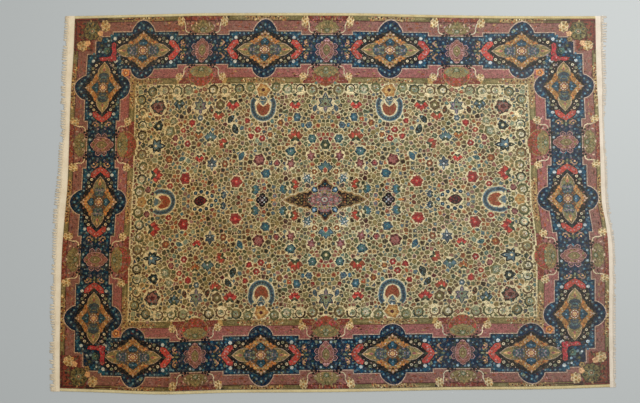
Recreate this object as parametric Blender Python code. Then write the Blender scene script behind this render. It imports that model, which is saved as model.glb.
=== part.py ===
"""A room-size hand-knotted carpet lying flat: pile, two side bindings and two fringed flat-woven ends.

Metres, +Z up. X runs along the carpet, between the fringed ends, and Y across it.
The origin is on the floor, in the middle of the carpet's overall box.
"""

import random

import bmesh
import bpy

PILE_HEIGHT = 0.009  # the knotted pile and the weave under it
BINDING_HEIGHT = 0.008
BINDING_WIDTH = 0.025
FLAT_WEAVE_HEIGHT = 0.003  # the pile-free weave at each end, and its fringe
SEWN_GAP = 0.0003  # between pieces that are sewn or woven together
PILE_ROUNDING = 0.003
BINDING_ROUNDING = 0.0025
CORNER_ROUNDING = 0.012
STATION_STEP = 0.13  # between the outline's points

LOCKS_PER_END = 147
LOCK_ROOT_SHARE = 0.62  # of the pitch between locks
LOCK_TIP_SHARE = 0.26
LOCK_LEAN_SHARE = 0.26
LOCK_STUB = 0.25  # a worn lock's length, as a share of its neighbours'
LOCK_SHORTEST = 0.005
FRINGE_SEED = 7

# The side edges as the carpet really lies, each row a place along X and the binding's outer edge in Y.
NORTH_SIDE = [
    {"x": -1.95, "edge": 1.377},
    {"x": -1.33, "edge": 1.392},
    {"x": -0.97, "edge": 1.400},
    {"x": 0.20, "edge": 1.400},
    {"x": 0.47, "edge": 1.392},
    {"x": 0.83, "edge": 1.385},
    {"x": 1.31, "edge": 1.378},
    {"x": 1.96, "edge": 1.377},
]
SOUTH_SIDE = [
    {"x": -1.96, "edge": -1.377},
    {"x": -1.68, "edge": -1.385},
    {"x": -1.23, "edge": -1.400},
    {"x": -0.77, "edge": -1.388},
    {"x": -0.09, "edge": -1.384},
    {"x": 0.36, "edge": -1.377},
    {"x": 0.82, "edge": -1.368},
    {"x": 1.50, "edge": -1.363},
    {"x": 1.95, "edge": -1.349},
]

# The fringed ends, each row a place along Y: the pile's edge in X, the widths of the flat weave and of the
# fringe beyond it, and the share of the locks there that have worn to stubs.
WEST_END = [
    {"y": -1.38, "edge": -1.957, "weave": 0.038, "fringe": 0.036, "worn": 0.1},
    {"y": -1.20, "edge": -1.965, "weave": 0.040, "fringe": 0.040, "worn": 0.1},
    {"y": -1.03, "edge": -1.971, "weave": 0.042, "fringe": 0.036, "worn": 0.2},
    {"y": -0.94, "edge": -1.973, "weave": 0.036, "fringe": 0.012, "worn": 0.5},
    {"y": -0.86, "edge": -1.974, "weave": 0.044, "fringe": 0.034, "worn": 0.1},
    {"y": -0.58, "edge": -1.979, "weave": 0.046, "fringe": 0.032, "worn": 0.2},
    {"y": -0.35, "edge": -1.980, "weave": 0.044, "fringe": 0.032, "worn": 0.2},
    {"y": -0.11, "edge": -1.969, "weave": 0.054, "fringe": 0.036, "worn": 0.1},
    {"y": 0.12, "edge": -1.957, "weave": 0.050, "fringe": 0.036, "worn": 0.2},
    {"y": 0.36, "edge": -1.957, "weave": 0.046, "fringe": 0.034, "worn": 0.4},
    {"y": 0.56, "edge": -1.958, "weave": 0.034, "fringe": 0.040, "worn": 0.7},
    {"y": 0.84, "edge": -1.957, "weave": 0.044, "fringe": 0.038, "worn": 0.2},
    {"y": 1.08, "edge": -1.948, "weave": 0.050, "fringe": 0.038, "worn": 0.1},
    {"y": 1.38, "edge": -1.949, "weave": 0.048, "fringe": 0.028, "worn": 0.1},
]
EAST_END = [
    {"y": -1.35, "edge": 1.952, "weave": 0.032, "fringe": 0.016, "worn": 0.2},
    {"y": -0.98, "edge": 1.961, "weave": 0.034, "fringe": 0.017, "worn": 0.2},
    {"y": -0.52, "edge": 1.981, "weave": 0.034, "fringe": 0.017, "worn": 0.3},
    {"y": -0.29, "edge": 1.980, "weave": 0.036, "fringe": 0.016, "worn": 0.3},
    {"y": -0.17, "edge": 1.968, "weave": 0.038, "fringe": 0.016, "worn": 0.3},
    {"y": -0.05, "edge": 1.947, "weave": 0.038, "fringe": 0.018, "worn": 0.3},
    {"y": 0.30, "edge": 1.950, "weave": 0.036, "fringe": 0.014, "worn": 0.4},
    {"y": 0.54, "edge": 1.952, "weave": 0.030, "fringe": 0.012, "worn": 0.5},
    {"y": 0.68, "edge": 1.951, "weave": 0.036, "fringe": 0.020, "worn": 0.4},
    {"y": 0.84, "edge": 1.947, "weave": 0.046, "fringe": 0.028, "worn": 0.1},
    {"y": 1.08, "edge": 1.949, "weave": 0.046, "fringe": 0.034, "worn": 0.1},
    {"y": 1.38, "edge": 1.957, "weave": 0.046, "fringe": 0.046, "worn": 0.1},
]

COLOURS = {  # base colour, roughness
    "pile_wool": ((0.34, 0.27, 0.19, 1), 0.95),
    "binding_cotton": ((0.72, 0.60, 0.38, 1), 0.9),
    "fringe_cotton": ((0.76, 0.66, 0.50, 1), 0.9),
}


def read(table, column, at):
    """A column of a table at any place between its rows, on a smooth curve through them."""
    key = "x" if "x" in table[0] else "y"
    places = [row[key] for row in table]
    at = min(max(at, places[0]), places[-1])
    row = max(i for i in range(len(table) - 1) if places[i] <= at)

    def slope(i):
        before, after = max(i - 1, 0), min(i + 1, len(table) - 1)
        return (table[after][column] - table[before][column]) / (places[after] - places[before])

    span = places[row + 1] - places[row]
    t = (at - places[row]) / span
    start, end = table[row][column], table[row + 1][column]
    return (
        start * (1 + 2 * t) * (1 - t) ** 2
        + end * t * t * (3 - 2 * t)
        + slope(row) * span * t * (1 - t) ** 2
        - slope(row + 1) * span * t * t * (1 - t)
    )


def stations(first, last):
    """Places from first to last, about a station step apart."""
    count = max(1, round(abs(last - first) / STATION_STEP))
    return [first + (last - first) * i / count for i in range(count + 1)]


def side_edge(side, outward, x):
    """The Y of a side's line, a distance outside the pile's edge."""
    sign = -1 if side is SOUTH_SIDE else 1
    return read(side, "edge", x) + sign * (outward - BINDING_WIDTH)


def meeting(end, side, outward=0):
    """Where an end of the pile meets a side's line, a distance outside the pile's edge."""
    x, y = end[0]["edge"], 0
    for _ in range(4):
        y = side_edge(side, outward, x)
        x = read(end, "edge", y)
    return x, y


def side_line(side, outward, start, end):
    """Points along a side from x = start to x = end, a distance outside the pile's edge."""
    return [(x, side_edge(side, outward, x)) for x in stations(start, end)]


def end_line(end, outward, start, finish):
    """Points along an end from y = start to y = finish, a distance outside the pile's edge."""
    sign = -1 if end is WEST_END else 1
    return [(read(end, "edge", y) + sign * outward, y) for y in stations(start, finish)]


def add_material(obj, name):
    colour, roughness = COLOURS[name]
    material = bpy.data.materials.get(name)
    if material is None:
        material = bpy.data.materials.new(name)
        material.use_nodes = True
        shader = material.node_tree.nodes["Principled BSDF"]
        shader.inputs["Base Color"].default_value = colour
        shader.inputs["Roughness"].default_value = roughness
        shader.inputs["Metallic"].default_value = 0
    obj.data.materials.append(material)


def add_slab(name, outline, height, rounding, material, collection):
    """A flat closed piece with this outline, anticlockwise from above, its upper edge rounded over."""
    shape = bmesh.new()
    base = shape.faces.new([shape.verts.new((x, y, 0)) for x, y in outline])
    raised = bmesh.ops.extrude_face_region(shape, geom=[base], use_keep_orig=True)["geom"]
    for vertex in (v for v in raised if isinstance(v, bmesh.types.BMVert)):
        vertex.co.z = height
    if rounding:
        top_edges = [e for e in shape.edges if all(v.co.z > height / 2 for v in e.verts)]
        bmesh.ops.bevel(
            shape, geom=top_edges, offset=rounding, segments=2, affect="EDGES", clamp_overlap=True
        )
    bmesh.ops.recalc_face_normals(shape, faces=shape.faces)
    mesh = bpy.data.meshes.new(name)
    shape.to_mesh(mesh)
    shape.free()
    obj = bpy.data.objects.new(name, mesh)
    collection.objects.link(obj)
    add_material(obj, material)
    return obj


def cut_corners(outline):
    """The pile's outline with a small cut at each corner, as a worn corner has."""
    points = []
    for i, (x, y) in enumerate(outline):
        (xa, ya), (xb, yb) = outline[i - 1], outline[(i + 1) % len(outline)]
        turn = abs((x - xa) * (yb - y) - (y - ya) * (xb - x))
        reach = (abs(x - xa) + abs(y - ya)) * (abs(xb - x) + abs(yb - y))
        if turn < reach / 2:
            points.append((x, y))
            continue
        for nx, ny in ((xa, ya), (xb, yb)):
            length = ((nx - x) ** 2 + (ny - y) ** 2) ** 0.5
            share = CORNER_ROUNDING / length
            points.append((x + (nx - x) * share, y + (ny - y) * share))
    return points


def pile_outline():
    south_west, south_east = meeting(WEST_END, SOUTH_SIDE), meeting(EAST_END, SOUTH_SIDE)
    north_west, north_east = meeting(WEST_END, NORTH_SIDE), meeting(EAST_END, NORTH_SIDE)
    outline = side_line(SOUTH_SIDE, 0, south_west[0], south_east[0])[:-1]
    outline += end_line(EAST_END, 0, south_east[1], north_east[1])[:-1]
    outline += side_line(NORTH_SIDE, 0, north_east[0], north_west[0])[:-1]
    outline += end_line(WEST_END, 0, north_west[1], south_west[1])[:-1]
    return cut_corners(outline)


def binding_outline(side):
    inner = side_line(side, SEWN_GAP, meeting(WEST_END, side)[0], meeting(EAST_END, side)[0])
    west, east = meeting(WEST_END, side, BINDING_WIDTH)[0], meeting(EAST_END, side, BINDING_WIDTH)[0]
    outer = side_line(side, BINDING_WIDTH, west, east)
    return outer + inner[::-1] if side is SOUTH_SIDE else inner + outer[::-1]


def fringe_outline(end, seed):
    """The flat weave and the locks of one end, drawn as one comb, upwards along its outer edge."""
    shuffle = random.Random(seed)
    sign = -1 if end is WEST_END else 1
    south = meeting(end, SOUTH_SIDE, BINDING_WIDTH)[1]
    north = meeting(end, NORTH_SIDE, BINDING_WIDTH)[1]
    pitch = (north - south) / LOCKS_PER_END
    comb = []
    for i in range(LOCKS_PER_END):
        y = south + (i + 0.5) * pitch
        root_x = read(end, "edge", y) + sign * read(end, "weave", y)
        length = read(end, "fringe", y) * shuffle.uniform(0.8, 1.0)
        if shuffle.random() < read(end, "worn", y):
            length *= shuffle.uniform(LOCK_STUB, 0.7)
        length = max(length, LOCK_SHORTEST)
        lean = pitch * LOCK_LEAN_SHARE * shuffle.uniform(-1, 1)
        root, tip = pitch * LOCK_ROOT_SHARE / 2, pitch * LOCK_TIP_SHARE / 2
        middle_x, tip_x = root_x + sign * length * 0.55, root_x + sign * length
        middle = (root + tip) / 2
        comb += [
            (root_x, y - root),
            (middle_x, y + lean * 0.4 - middle),
            (tip_x, y + lean - tip),
            (tip_x, y + lean + tip),
            (middle_x, y + lean * 0.4 + middle),
            (root_x, y + root),
        ]
    inner = [(read(end, "edge", south) + sign * SEWN_GAP, south)]
    inner += end_line(end, SEWN_GAP, meeting(end, SOUTH_SIDE)[1], meeting(end, NORTH_SIDE)[1])
    inner += [(read(end, "edge", north) + sign * SEWN_GAP, north)]
    outline = [(comb[0][0], south)] + comb + [(comb[-1][0], north)] + inner[::-1]
    return outline if end is EAST_END else outline[::-1]


def centred(outlines):
    """The outlines moved so that the middle of their overall box is at the origin."""
    points = [point for outline in outlines.values() for point in outline]
    middle_x, middle_y = ((min(c) + max(c)) / 2 for c in zip(*points))
    return {name: [(x - middle_x, y - middle_y) for x, y in outline] for name, outline in outlines.items()}


def main():
    for obj in list(bpy.data.objects):
        bpy.data.objects.remove(obj)
    collection = bpy.data.collections.new("carpet")
    bpy.context.scene.collection.children.link(collection)
    outlines = centred(
        {
            "pile": pile_outline(),
            "binding_north": binding_outline(NORTH_SIDE),
            "binding_south": binding_outline(SOUTH_SIDE),
            "fringe_west": fringe_outline(WEST_END, FRINGE_SEED),
            "fringe_east": fringe_outline(EAST_END, FRINGE_SEED + 1),
        }
    )
    add_slab("pile", outlines["pile"], PILE_HEIGHT, PILE_ROUNDING, "pile_wool", collection)
    for name in ("binding_north", "binding_south"):
        add_slab(name, outlines[name], BINDING_HEIGHT, BINDING_ROUNDING, "binding_cotton", collection)
    for name in ("fringe_west", "fringe_east"):
        add_slab(name, outlines[name], FLAT_WEAVE_HEIGHT, 0, "fringe_cotton", collection)


main()
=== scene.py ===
# %% [markdown]
# # A room-size knotted carpet, drawn and dressed
# The carpet's plain solids come from the part's own frame: a flat pile, two side bindings and two fringed
# ends. This lesson dresses them. The real carpet gets its pattern from a paper cartoon that the weaver reads
# a quarter at a time, so the pattern here is drawn the same way: one quarter, in coloured outlines, which
# is then turned over for the other three.

# %% Load the frame
import math
import random

import bmesh
import bpy
import numpy as np
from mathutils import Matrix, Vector
from mathutils.geometry import delaunay_2d_cdt


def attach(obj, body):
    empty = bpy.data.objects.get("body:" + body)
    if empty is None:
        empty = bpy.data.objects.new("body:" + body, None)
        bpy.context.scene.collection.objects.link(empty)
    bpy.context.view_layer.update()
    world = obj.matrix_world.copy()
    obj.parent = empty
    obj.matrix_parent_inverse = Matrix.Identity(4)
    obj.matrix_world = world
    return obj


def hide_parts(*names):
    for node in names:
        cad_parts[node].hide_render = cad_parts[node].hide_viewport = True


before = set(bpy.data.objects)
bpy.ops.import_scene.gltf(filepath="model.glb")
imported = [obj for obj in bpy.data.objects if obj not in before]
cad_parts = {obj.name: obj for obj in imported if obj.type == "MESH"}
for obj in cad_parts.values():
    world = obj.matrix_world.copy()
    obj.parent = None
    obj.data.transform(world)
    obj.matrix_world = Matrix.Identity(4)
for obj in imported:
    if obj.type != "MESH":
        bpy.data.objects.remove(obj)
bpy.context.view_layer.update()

# %% [markdown]
# The real carpet isn't quite straight. The weaver's cartoon is, so the drawing is made on a true rectangle
# and laid over the real outline afterwards. Its main measures are in centimetres, which are a handy size for
# flowers: half its length and width, the border's middle lines and the places of medallions and rosettes.

# %% The cartoon's main measures, in centimetres
CM = 0.01
HALF_LENGTH, HALF_WIDTH = 195.0, 134.5
LONG_LINE, SHORT_LINE = 111.6, 171.7  # the middle of the border, from the carpet's centre
FIELD_X, FIELD_Y = 146.0, 86.2  # where the field's scroll stripe starts
LONG_MEDALLIONS, LONG_ROSETTES = (47.0, 142.0), (0.0, 95.5)
SHORT_MEDALLIONS, SHORT_ROSETTES = (0.0, 84.3), (42.0,)
PILE_TOP = 0.009
SEED = 11
print("the cartoon is", 2 * HALF_LENGTH, "by", 2 * HALF_WIDTH, "cm")

# %% [markdown]
# Dyed wool gives a small range of colours. Each is named for its dye or its look, in everyday screen values
# from 0 to 255, and turned into the linear values that Blender reckons with. Hand dyeing is never even, so
# each shape drawn later takes its yarn a little lighter or darker.

# %% The yarns
YARNS = {
    "ink": (26, 24, 28), "umber": (56, 44, 36), "maroon": (80, 36, 38), "brown": (102, 76, 54),
    "navy": (14, 38, 66), "deep_teal": (26, 60, 74), "peacock": (24, 78, 104), "steel": (74, 112, 140),
    "lake": (56, 104, 120), "slate": (60, 72, 84), "grey_blue": (96, 120, 128), "sky": (140, 168, 180),
    "ice": (190, 204, 206), "sea": (80, 114, 108), "bottle": (48, 62, 54), "moss": (84, 90, 60),
    "olive": (118, 108, 68), "khaki": (136, 124, 84), "sage": (134, 142, 114), "tan": (162, 134, 90),
    "gold": (194, 158, 98), "straw": (222, 206, 162), "cream": (220, 206, 172), "ivory": (222, 216, 202),
    "faded": (196, 188, 172), "blush": (198, 172, 150), "peach": (224, 180, 134), "amber": (208, 140, 80),
    "ochre": (172, 120, 68), "rust": (146, 78, 52), "brick": (128, 62, 50), "crimson": (142, 44, 48),
    "cerise": (176, 56, 68), "coral": (194, 76, 66), "rose": (158, 98, 94), "pink": (188, 142, 138),
    "mauve": (142, 97, 88), "lilac": (146, 130, 136),
}
draw_rng = random.Random(SEED)
cartoon = []  # each row a shape's outline, in centimetres, and its colour; later rows lie on top


def linear(channel):
    """One screen colour channel as light."""
    channel = min(max(channel / 255, 0), 1)
    return channel / 12.92 if channel <= 0.04045 else ((channel + 0.055) / 1.055) ** 2.4


def area(points):
    """Twice an outline's area, above zero when it runs anticlockwise."""
    return sum(a[0] * b[1] - b[0] * a[1] for a, b in zip(points, points[1:] + points[:1]))


def paint(points, yarn, spread=0.07):
    """Add a shape to the cartoon, its yarn a little lighter or darker each time."""
    points = [(float(x), float(y)) for x, y in points]
    shade = 1 + draw_rng.uniform(-spread, spread)
    warmth = 1 + draw_rng.uniform(-spread, spread) * 0.4
    red, green, blue = YARNS[yarn]
    colour = (linear(red * shade * warmth), linear(green * shade), linear(blue * shade / warmth))
    cartoon.append((points if area(points) > 0 else points[::-1], colour))


print(len(YARNS), "yarns")

# %% [markdown]
# Every flower of such a carpet is built of a few outlines: a lobed ring, a leaf, an arc and a stroke along a
# path. Each outline here is a star shape about its own middle, or a narrow band, so it never crosses itself.

# %% Outlines
def turned(points, angle):
    c, s = math.cos(angle), math.sin(angle)
    return [(x * c - y * s, x * s + y * c) for x, y in points]


def moved(points, x, y, turn=0.0, size=1.0):
    return [(px * size + x, py * size + y) for px, py in turned(points, turn)]


def sized(points, size):
    return [(x * size, y * size) for x, y in points]


def lobed(radius, lobes, depth=0.0, turn=0.0, squash=1.0, per_lobe=1):
    """A flower's outline: a ring that dips between its lobes."""
    points = []
    for i in range(lobes * per_lobe):
        angle = 2 * math.pi * i / (lobes * per_lobe)
        reach = radius * (1 - depth * (0.5 - 0.5 * math.cos(lobes * angle)) ** 0.8)
        points.append((reach * math.cos(angle), reach * math.sin(angle) * squash))
    return turned(points, turn)


def leaf(length, width, bend=0.0, points=5):
    """A pointed oval from (0, 0) along +Y."""
    right, left = [], []
    for i in range(1, points):
        t = i / points
        half = width / 2 * math.sin(math.pi * t ** 0.85)
        shift = bend * math.sin(math.pi * t)
        right.append((half + shift, t * length))
        left.append((-half + shift, t * length))
    return [(0, 0)] + right + [(0, length)] + left[::-1]


def leaf_along(start, length, width):
    """A leaf that starts at a place along +X and points that way."""
    return moved(leaf(length, width), start, 0, -math.pi / 2)


def arc(radius, start, end, steps=10, shrink=1.0):
    """Points on a circle or, with shrink below 1, on a spiral."""
    points = []
    for i in range(steps + 1):
        t = i / steps
        reach = radius * (1 + (shrink - 1) * t)
        angle = math.radians(start + (end - start) * t)
        points.append((reach * math.cos(angle), reach * math.sin(angle)))
    return points


def band(path, width, taper=1.0):
    """A stroke along a path, narrowing to a share of its width at its end."""
    left, right = [], []
    for i, (x, y) in enumerate(path):
        a, b = path[max(i - 1, 0)], path[min(i + 1, len(path) - 1)]
        length = math.dist(a, b) or 1
        nx, ny = -(b[1] - a[1]) / length, (b[0] - a[0]) / length
        half = width / 2 * (1 + (taper - 1) * i / (len(path) - 1))
        left.append((x + nx * half, y + ny * half))
        right.append((x - nx * half, y - ny * half))
    return left + right[::-1]


def rectangle(x0, y0, x1, y1):
    return [(x0, y0), (x1, y0), (x1, y1), (x0, y1)]


print("a lobed ring has", len(lobed(1, 6, 0.2, per_lobe=4)), "points and a leaf", len(leaf(2, 1)))

# %% [markdown]
# Half an outline, or a quarter of it, is enough where the shape is symmetrical. Other helpers push an outline
# outwards, for the thin dark or light line that weavers set round a shape, and tell whether a place lies
# inside one.

# %% Working with outlines
def mirrored(half):
    """A closed outline from its right half, listed from one end to the other."""
    return list(half) + [(-x, y) for x, y in reversed(half) if abs(x) > 1e-6]


def folded(half):
    """A closed outline from its upper half."""
    return list(half) + [(x, -y) for x, y in reversed(half) if abs(y) > 1e-6]


def four_fold(quarter):
    """A closed outline from a quarter of it, listed from its top down to its right."""
    return mirrored(folded(quarter))


def grown(points, by):
    """An outline pushed outwards."""
    points = points if area(points) > 0 else points[::-1]
    out = []
    for i, (x, y) in enumerate(points):
        before, after = points[i - 1], points[(i + 1) % len(points)]
        n1 = Vector((y - before[1], before[0] - x)).normalized()
        n2 = Vector((after[1] - y, x - after[0])).normalized()
        normal = n1 + n2
        normal = normal / max(normal.length_squared / 2, 0.5)
        out.append((x + normal.x * by, y + normal.y * by))
    return out


def rimmed(pen, outline, by, rim, yarn, spreads=(0.07, 0.07)):
    """A shape with a line round it in another yarn, and how much each of the two may vary."""
    pen(grown(outline, by), rim, spreads[0])
    pen(outline, yarn, spreads[1])


def inside(x, y, outline):
    hit = False
    for (ax, ay), (bx, by) in zip(outline, outline[1:] + outline[:1]):
        if (ay > y) != (by > y) and x < (bx - ax) * (y - ay) / (by - ay) + ax:
            hit = not hit
    return hit


print("a unit square grown by 0.5 has twice the area", area(grown(rectangle(0, 0, 1, 1), 0.5)))

# %% [markdown]
# A pen is a function that paints a shape about its own place. One kind works about a flower's middle. The
# other works about the middle of a border cell, with s along the border and t outwards, and can set the
# shape's mirror images down as well. Old dyes and uneven knots leave no large shape in one plain colour, so
# another helper mottles a shape with small touches of kindred yarns.

# %% Pens and touches
BOTH = (1, -1)


def pen_at(x, y, turn=0.0, sway=0.0):
    """A pen about a place, turned by an angle and, where it has a sway, a little more at random."""
    turn += draw_rng.uniform(-sway, sway) if sway else 0
    return lambda points, yarn, spread=0.07: paint(moved(points, x, y, turn), yarn, spread)


def on_border(points, side, middle, s_scale=1, t_sign=1):
    """Border points (s, t) at their place on the cartoon."""
    if side == "long":
        return [(middle + s * s_scale, LONG_LINE + t * t_sign) for s, t in points]
    return [(SHORT_LINE + t * t_sign, middle + s * s_scale) for s, t in points]


def border_pen(side, middle, s_scales=(1,), t_signs=(1,)):
    def pen(points, yarn, spread=0.07):
        for t_sign in t_signs:
            for s_scale in s_scales:
                paint(on_border(points, side, middle, s_scale, t_sign), yarn, spread)

    return pen


def four_pens(side, middle, scale=1.0):
    """Pens that set a shape down once, mirrored along the border, mirrored across it, and both."""
    hands = (scale, -scale)
    kinds = (((scale,), (1,)), (hands, (1,)), ((scale,), BOTH), (hands, BOTH))
    return [border_pen(side, middle, s_scales, t_signs) for s_scales, t_signs in kinds]


def touch(low=0.45, high=0.85):
    """A small four-sided touch of uneven size, turned at random."""
    return lobed(draw_rng.uniform(low, high), 4, 0, draw_rng.uniform(0, 6), 0.7)


def mottled(outline, count, size, yarns, pen):
    """Scatter touches of several yarns, named with spaces between them, inside an outline."""
    xs, ys = zip(*outline)
    for _ in range(count):
        x, y = draw_rng.uniform(min(xs), max(xs)), draw_rng.uniform(min(ys), max(ys))
        if inside(x, y, outline):
            pen(moved(touch(size * 0.6, size * 1.25), x, y), draw_rng.choice(yarns.split()), 0.12)


def ringed(pen, s, t, radius, rim, heart):
    """A small round flower with a heart of another yarn."""
    pen(moved(lobed(radius, 6, 0.0, 0.3), s, t), rim, 0.1)
    pen(moved(lobed(radius * 0.48, 4, 0.0, 0.4), s, t), heart)


BORDER_CELLS = [("long", m, "medallion") for m in LONG_MEDALLIONS]
BORDER_CELLS += [("short", m, "medallion") for m in SHORT_MEDALLIONS]
BORDER_CELLS += [("long", m, "rosette") for m in LONG_ROSETTES]
BORDER_CELLS += [("short", m, "rosette") for m in SHORT_ROSETTES]
print(len(BORDER_CELLS), "border cells in a quarter")

# %% [markdown]
# First the grounds, from the outside in: a guard stripe, a mauve band, the navy band with its steps and round
# domes, a rosier mauve band and an inner guard. A thin light line edges the navy. Both mauve bands are
# streaked with rose, rust and tan, because no two skeins took the dye alike.

# %% Stripes of the border
GUARD, MAUVE_OUT, MAUVE_IN, INNER_GUARD = 20.6, 20.2, -20.6, -25.4
NAVY_WIDE, NAVY_NARROW = 13.6, 10.9
NAVY_STEP = {"long": 27.6, "short": 24.6}
EDGE_LINE = 0.6
PAST = 6.0  # how far shapes run past the quarter's own edges


def frame_band(t_in, yarn):
    """One stripe of the border, from its inner side out to the carpet's edge, round the quarter."""
    x_in, y_in = SHORT_LINE + t_in, LONG_LINE + t_in
    outside = [(HALF_LENGTH, -PAST), (HALF_LENGTH, HALF_WIDTH), (-PAST, HALF_WIDTH)]
    paint([(-PAST, y_in), (x_in, y_in), (x_in, -PAST)] + outside, yarn, 0.0)


def streak_band(t_low, t_high, distance, yarns, size):
    """Short streaks of other yarns along one stripe of the border."""
    for half, side in ((HALF_LENGTH, "long"), (HALF_WIDTH, "short")):
        for _ in range(int(half * (t_high - t_low) / distance**2)):
            s, t = draw_rng.uniform(0, half), draw_rng.uniform(t_low, t_high)
            streak = lobed(size * draw_rng.uniform(0.5, 1.3), 4, 0, 0, draw_rng.uniform(0.2, 0.5))
            streak = moved(streak, s, t, draw_rng.gauss(0, 0.12))
            paint(on_border(streak, side, 0.0), draw_rng.choice(yarns.split()), 0.12)


paint(rectangle(-PAST, -PAST, HALF_LENGTH, HALF_WIDTH), "straw", 0.0)
for t_in, yarn in (
    (INNER_GUARD, "gold"), (MAUVE_IN - 0.5, "maroon"), (MAUVE_IN, "rose"), (0.0, "mauve"),
    (MAUVE_OUT, "maroon"), (GUARD, "umber"),
):
    frame_band(t_in, yarn)
streak_band(14.2, 19.8, 2.9, "rose rust brick tan maroon rust rose", 1.5)
streak_band(-20.2, -14.2, 2.9, "pink rust mauve tan mauve maroon rust", 1.5)
print(len(cartoon), "shapes after the stripes")

# %% [markdown]
# The guards change colour along the border. They are gold with dark and red dots beside the domes, olive a
# little further on, and red beside the rosettes.

# %% Guard stripes
def red_guard(pen, low, high):
    """Beside a rosette: red, mottled with what crowds it."""
    piece = rectangle(-17, low, 17, high)
    pen(piece, "brick", 0.03)
    mottled(piece, 68, 0.75, "mauve tan maroon rose rust", pen)


def gold_guard(once, twice, low, high):
    """Beside a medallion: a gold piece with dots, and olive on either side of it."""
    centre, half = (low + high) / 2, (high - low) / 2
    twice([(13, low), (28.5, low), (27.5, high), (15.5, high)], "olive")
    twice(moved(leaf(11, half * 1.1), 25.5, centre, math.pi / 2), "khaki")
    ends = [(-17.5, centre), (-14.5, low), (14.5, low), (17.5, centre), (14.5, high), (-14.5, high)]
    once(ends, "tan", 0.03)
    mottled(ends, 70, 0.75, "gold straw khaki gold brown rust", once)
    for i in range(7):
        dot = lobed(0.8 if i % 2 else 0.62, 4, 0.2, i)
        place = (1.1 + 2.1 * i, centre + (0.45 if i % 2 else -0.35))
        twice(moved(dot, *place), ("umber", "maroon", "rust")[i % 3])


for side, middle, kind in BORDER_CELLS:
    once, twice, _, _ = four_pens(side, middle)
    for low, high in ((GUARD + 0.1, 23.4), (INNER_GUARD, MAUVE_IN - 0.6)):
        if kind == "rosette":
            red_guard(once, low, high)
        else:
            gold_guard(once, twice, low, high)
print(len(cartoon), "shapes after the guards")

# %% [markdown]
# The navy band is one run of straight pieces, a stepped corner, a wider piece at each medallion and a round
# dome on both sides of it. All of them are painted larger in the light line's yarn before any is painted in
# navy, so that no line crosses the band where two pieces meet.

# %% The navy band
BESIDE_CORNER = 80.0  # medallions past this place stand beside a corner
CORNER_REACH = 23.0  # their navy's reach towards it, on the long sides
DOME = [(9.0, 12.0), (8.8, 14.4), (8.2, 16.2), (6.9, 18.0), (5.1, 19.6), (2.9, 20.7), (0, 21.2)]
CORNER_STEPS = [
    (150.0, 97.9), (158.0, 97.9), (158.0, 78.0), (185.4, 78.0), (185.4, 108.5), (179.1, 108.5),
    (179.1, 118.5), (174.8, 118.5), (174.8, 121.9), (165.8, 121.9), (165.8, 125.3), (150.0, 125.3),
]


def navy_shapes():
    """The parts of the navy band, each an outline in centimetres."""
    shapes = [
        rectangle(-PAST, LONG_LINE - NAVY_NARROW, 160, LONG_LINE + NAVY_NARROW),
        rectangle(SHORT_LINE - NAVY_NARROW, -PAST, SHORT_LINE + NAVY_NARROW, 100),
        CORNER_STEPS,
    ]
    for side, middle, kind in BORDER_CELLS:
        if kind == "medallion":
            reach = NAVY_STEP[side]
            end = CORNER_REACH if middle > BESIDE_CORNER and side == "long" else reach
            shapes.append(on_border(rectangle(-reach, -NAVY_WIDE, end, NAVY_WIDE), side, middle))
            shapes += [on_border(mirrored(DOME), side, middle, 1, t_sign) for t_sign in BOTH]
    return shapes


NAVY_SHAPES = navy_shapes()
for outline in NAVY_SHAPES:
    paint(grown(outline, EDGE_LINE), "blush", 0.0)
for outline in NAVY_SHAPES:
    paint(outline, "navy", 0.0)
print(len(NAVY_SHAPES), "pieces of navy")

# %% [markdown]
# The navy isn't plain. Leaves of teal, green, slate and black crowd it, so it's strewn with small ones
# first. They are scattered at a set distance from each other, and only where the whole leaf lies on navy. A
# coarse grid remembers what lies near a place, so that each new leaf is compared with a few others only.

# %% Leaves strewn over the navy
STREWN = {
    "ink": 10, "deep_teal": 9, "peacock": 7, "bottle": 5, "lake": 3, "slate": 3, "grey_blue": 2, "sage": 1,
    "maroon": 1,
}
BARE_X, BARE_Y = 150, 90  # nothing is strewn nearer to the carpet's middle than this
CELL = 4.2


def cell_of(x, y):
    return int(x // CELL), int(y // CELL)


def nearby(cells, x, y):
    cx, cy = cell_of(x, y)
    return [s for i in (-1, 0, 1) for j in (-1, 0, 1) for s in cells.get((cx + i, cy + j), ())]


def by_weight(weights):
    """A list in which each name stands as often as its weight says."""
    return [name for name, weight in weights.items() for _ in range(weight)]


def on_navy(x, y, reach):
    corners = [(x, y)] + [(x + reach * a, y + reach * b) for a in BOTH for b in BOTH]
    return all(any(inside(*corner, outline) for outline in NAVY_SHAPES) for corner in corners)


def strew_navy(distance, tries):
    """Try random places for a small leaf, and count those that were free."""
    yarns, cells = by_weight(STREWN), {}
    for _ in range(tries):
        x, y = draw_rng.uniform(-1, HALF_LENGTH), draw_rng.uniform(-1, HALF_WIDTH)
        if x < BARE_X and y < BARE_Y or not on_navy(x, y, 0.8):
            continue
        if any(math.dist((x, y), spot) < distance for spot in nearby(cells, x, y)):
            continue
        cells.setdefault(cell_of(x, y), []).append((x, y))
        size = draw_rng.uniform(0.45, 0.85) * distance
        bud = lobed(size, 4, 0.0, draw_rng.uniform(0, 6), draw_rng.uniform(0.45, 0.9))
        paint(moved(bud, x, y), draw_rng.choice(yarns), 0.2)
    return sum(len(spots) for spots in cells.values())


print(strew_navy(distance=2.1, tries=26000), "small leaves on the navy")

# %% [markdown]
# The medallion is a golden diamond with notched edges and a pointed arm on each side, on a black ground.
# Its middle is a pale flower in a red-brown ring, between dark blue shapes above and below and grey-blue
# ones in the arms. Small ringed flowers lie in the black corners, and light-blue ones follow the navy
# band's edge. All of it is drawn about the medallion's middle, once, and pens repeat it.

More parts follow.
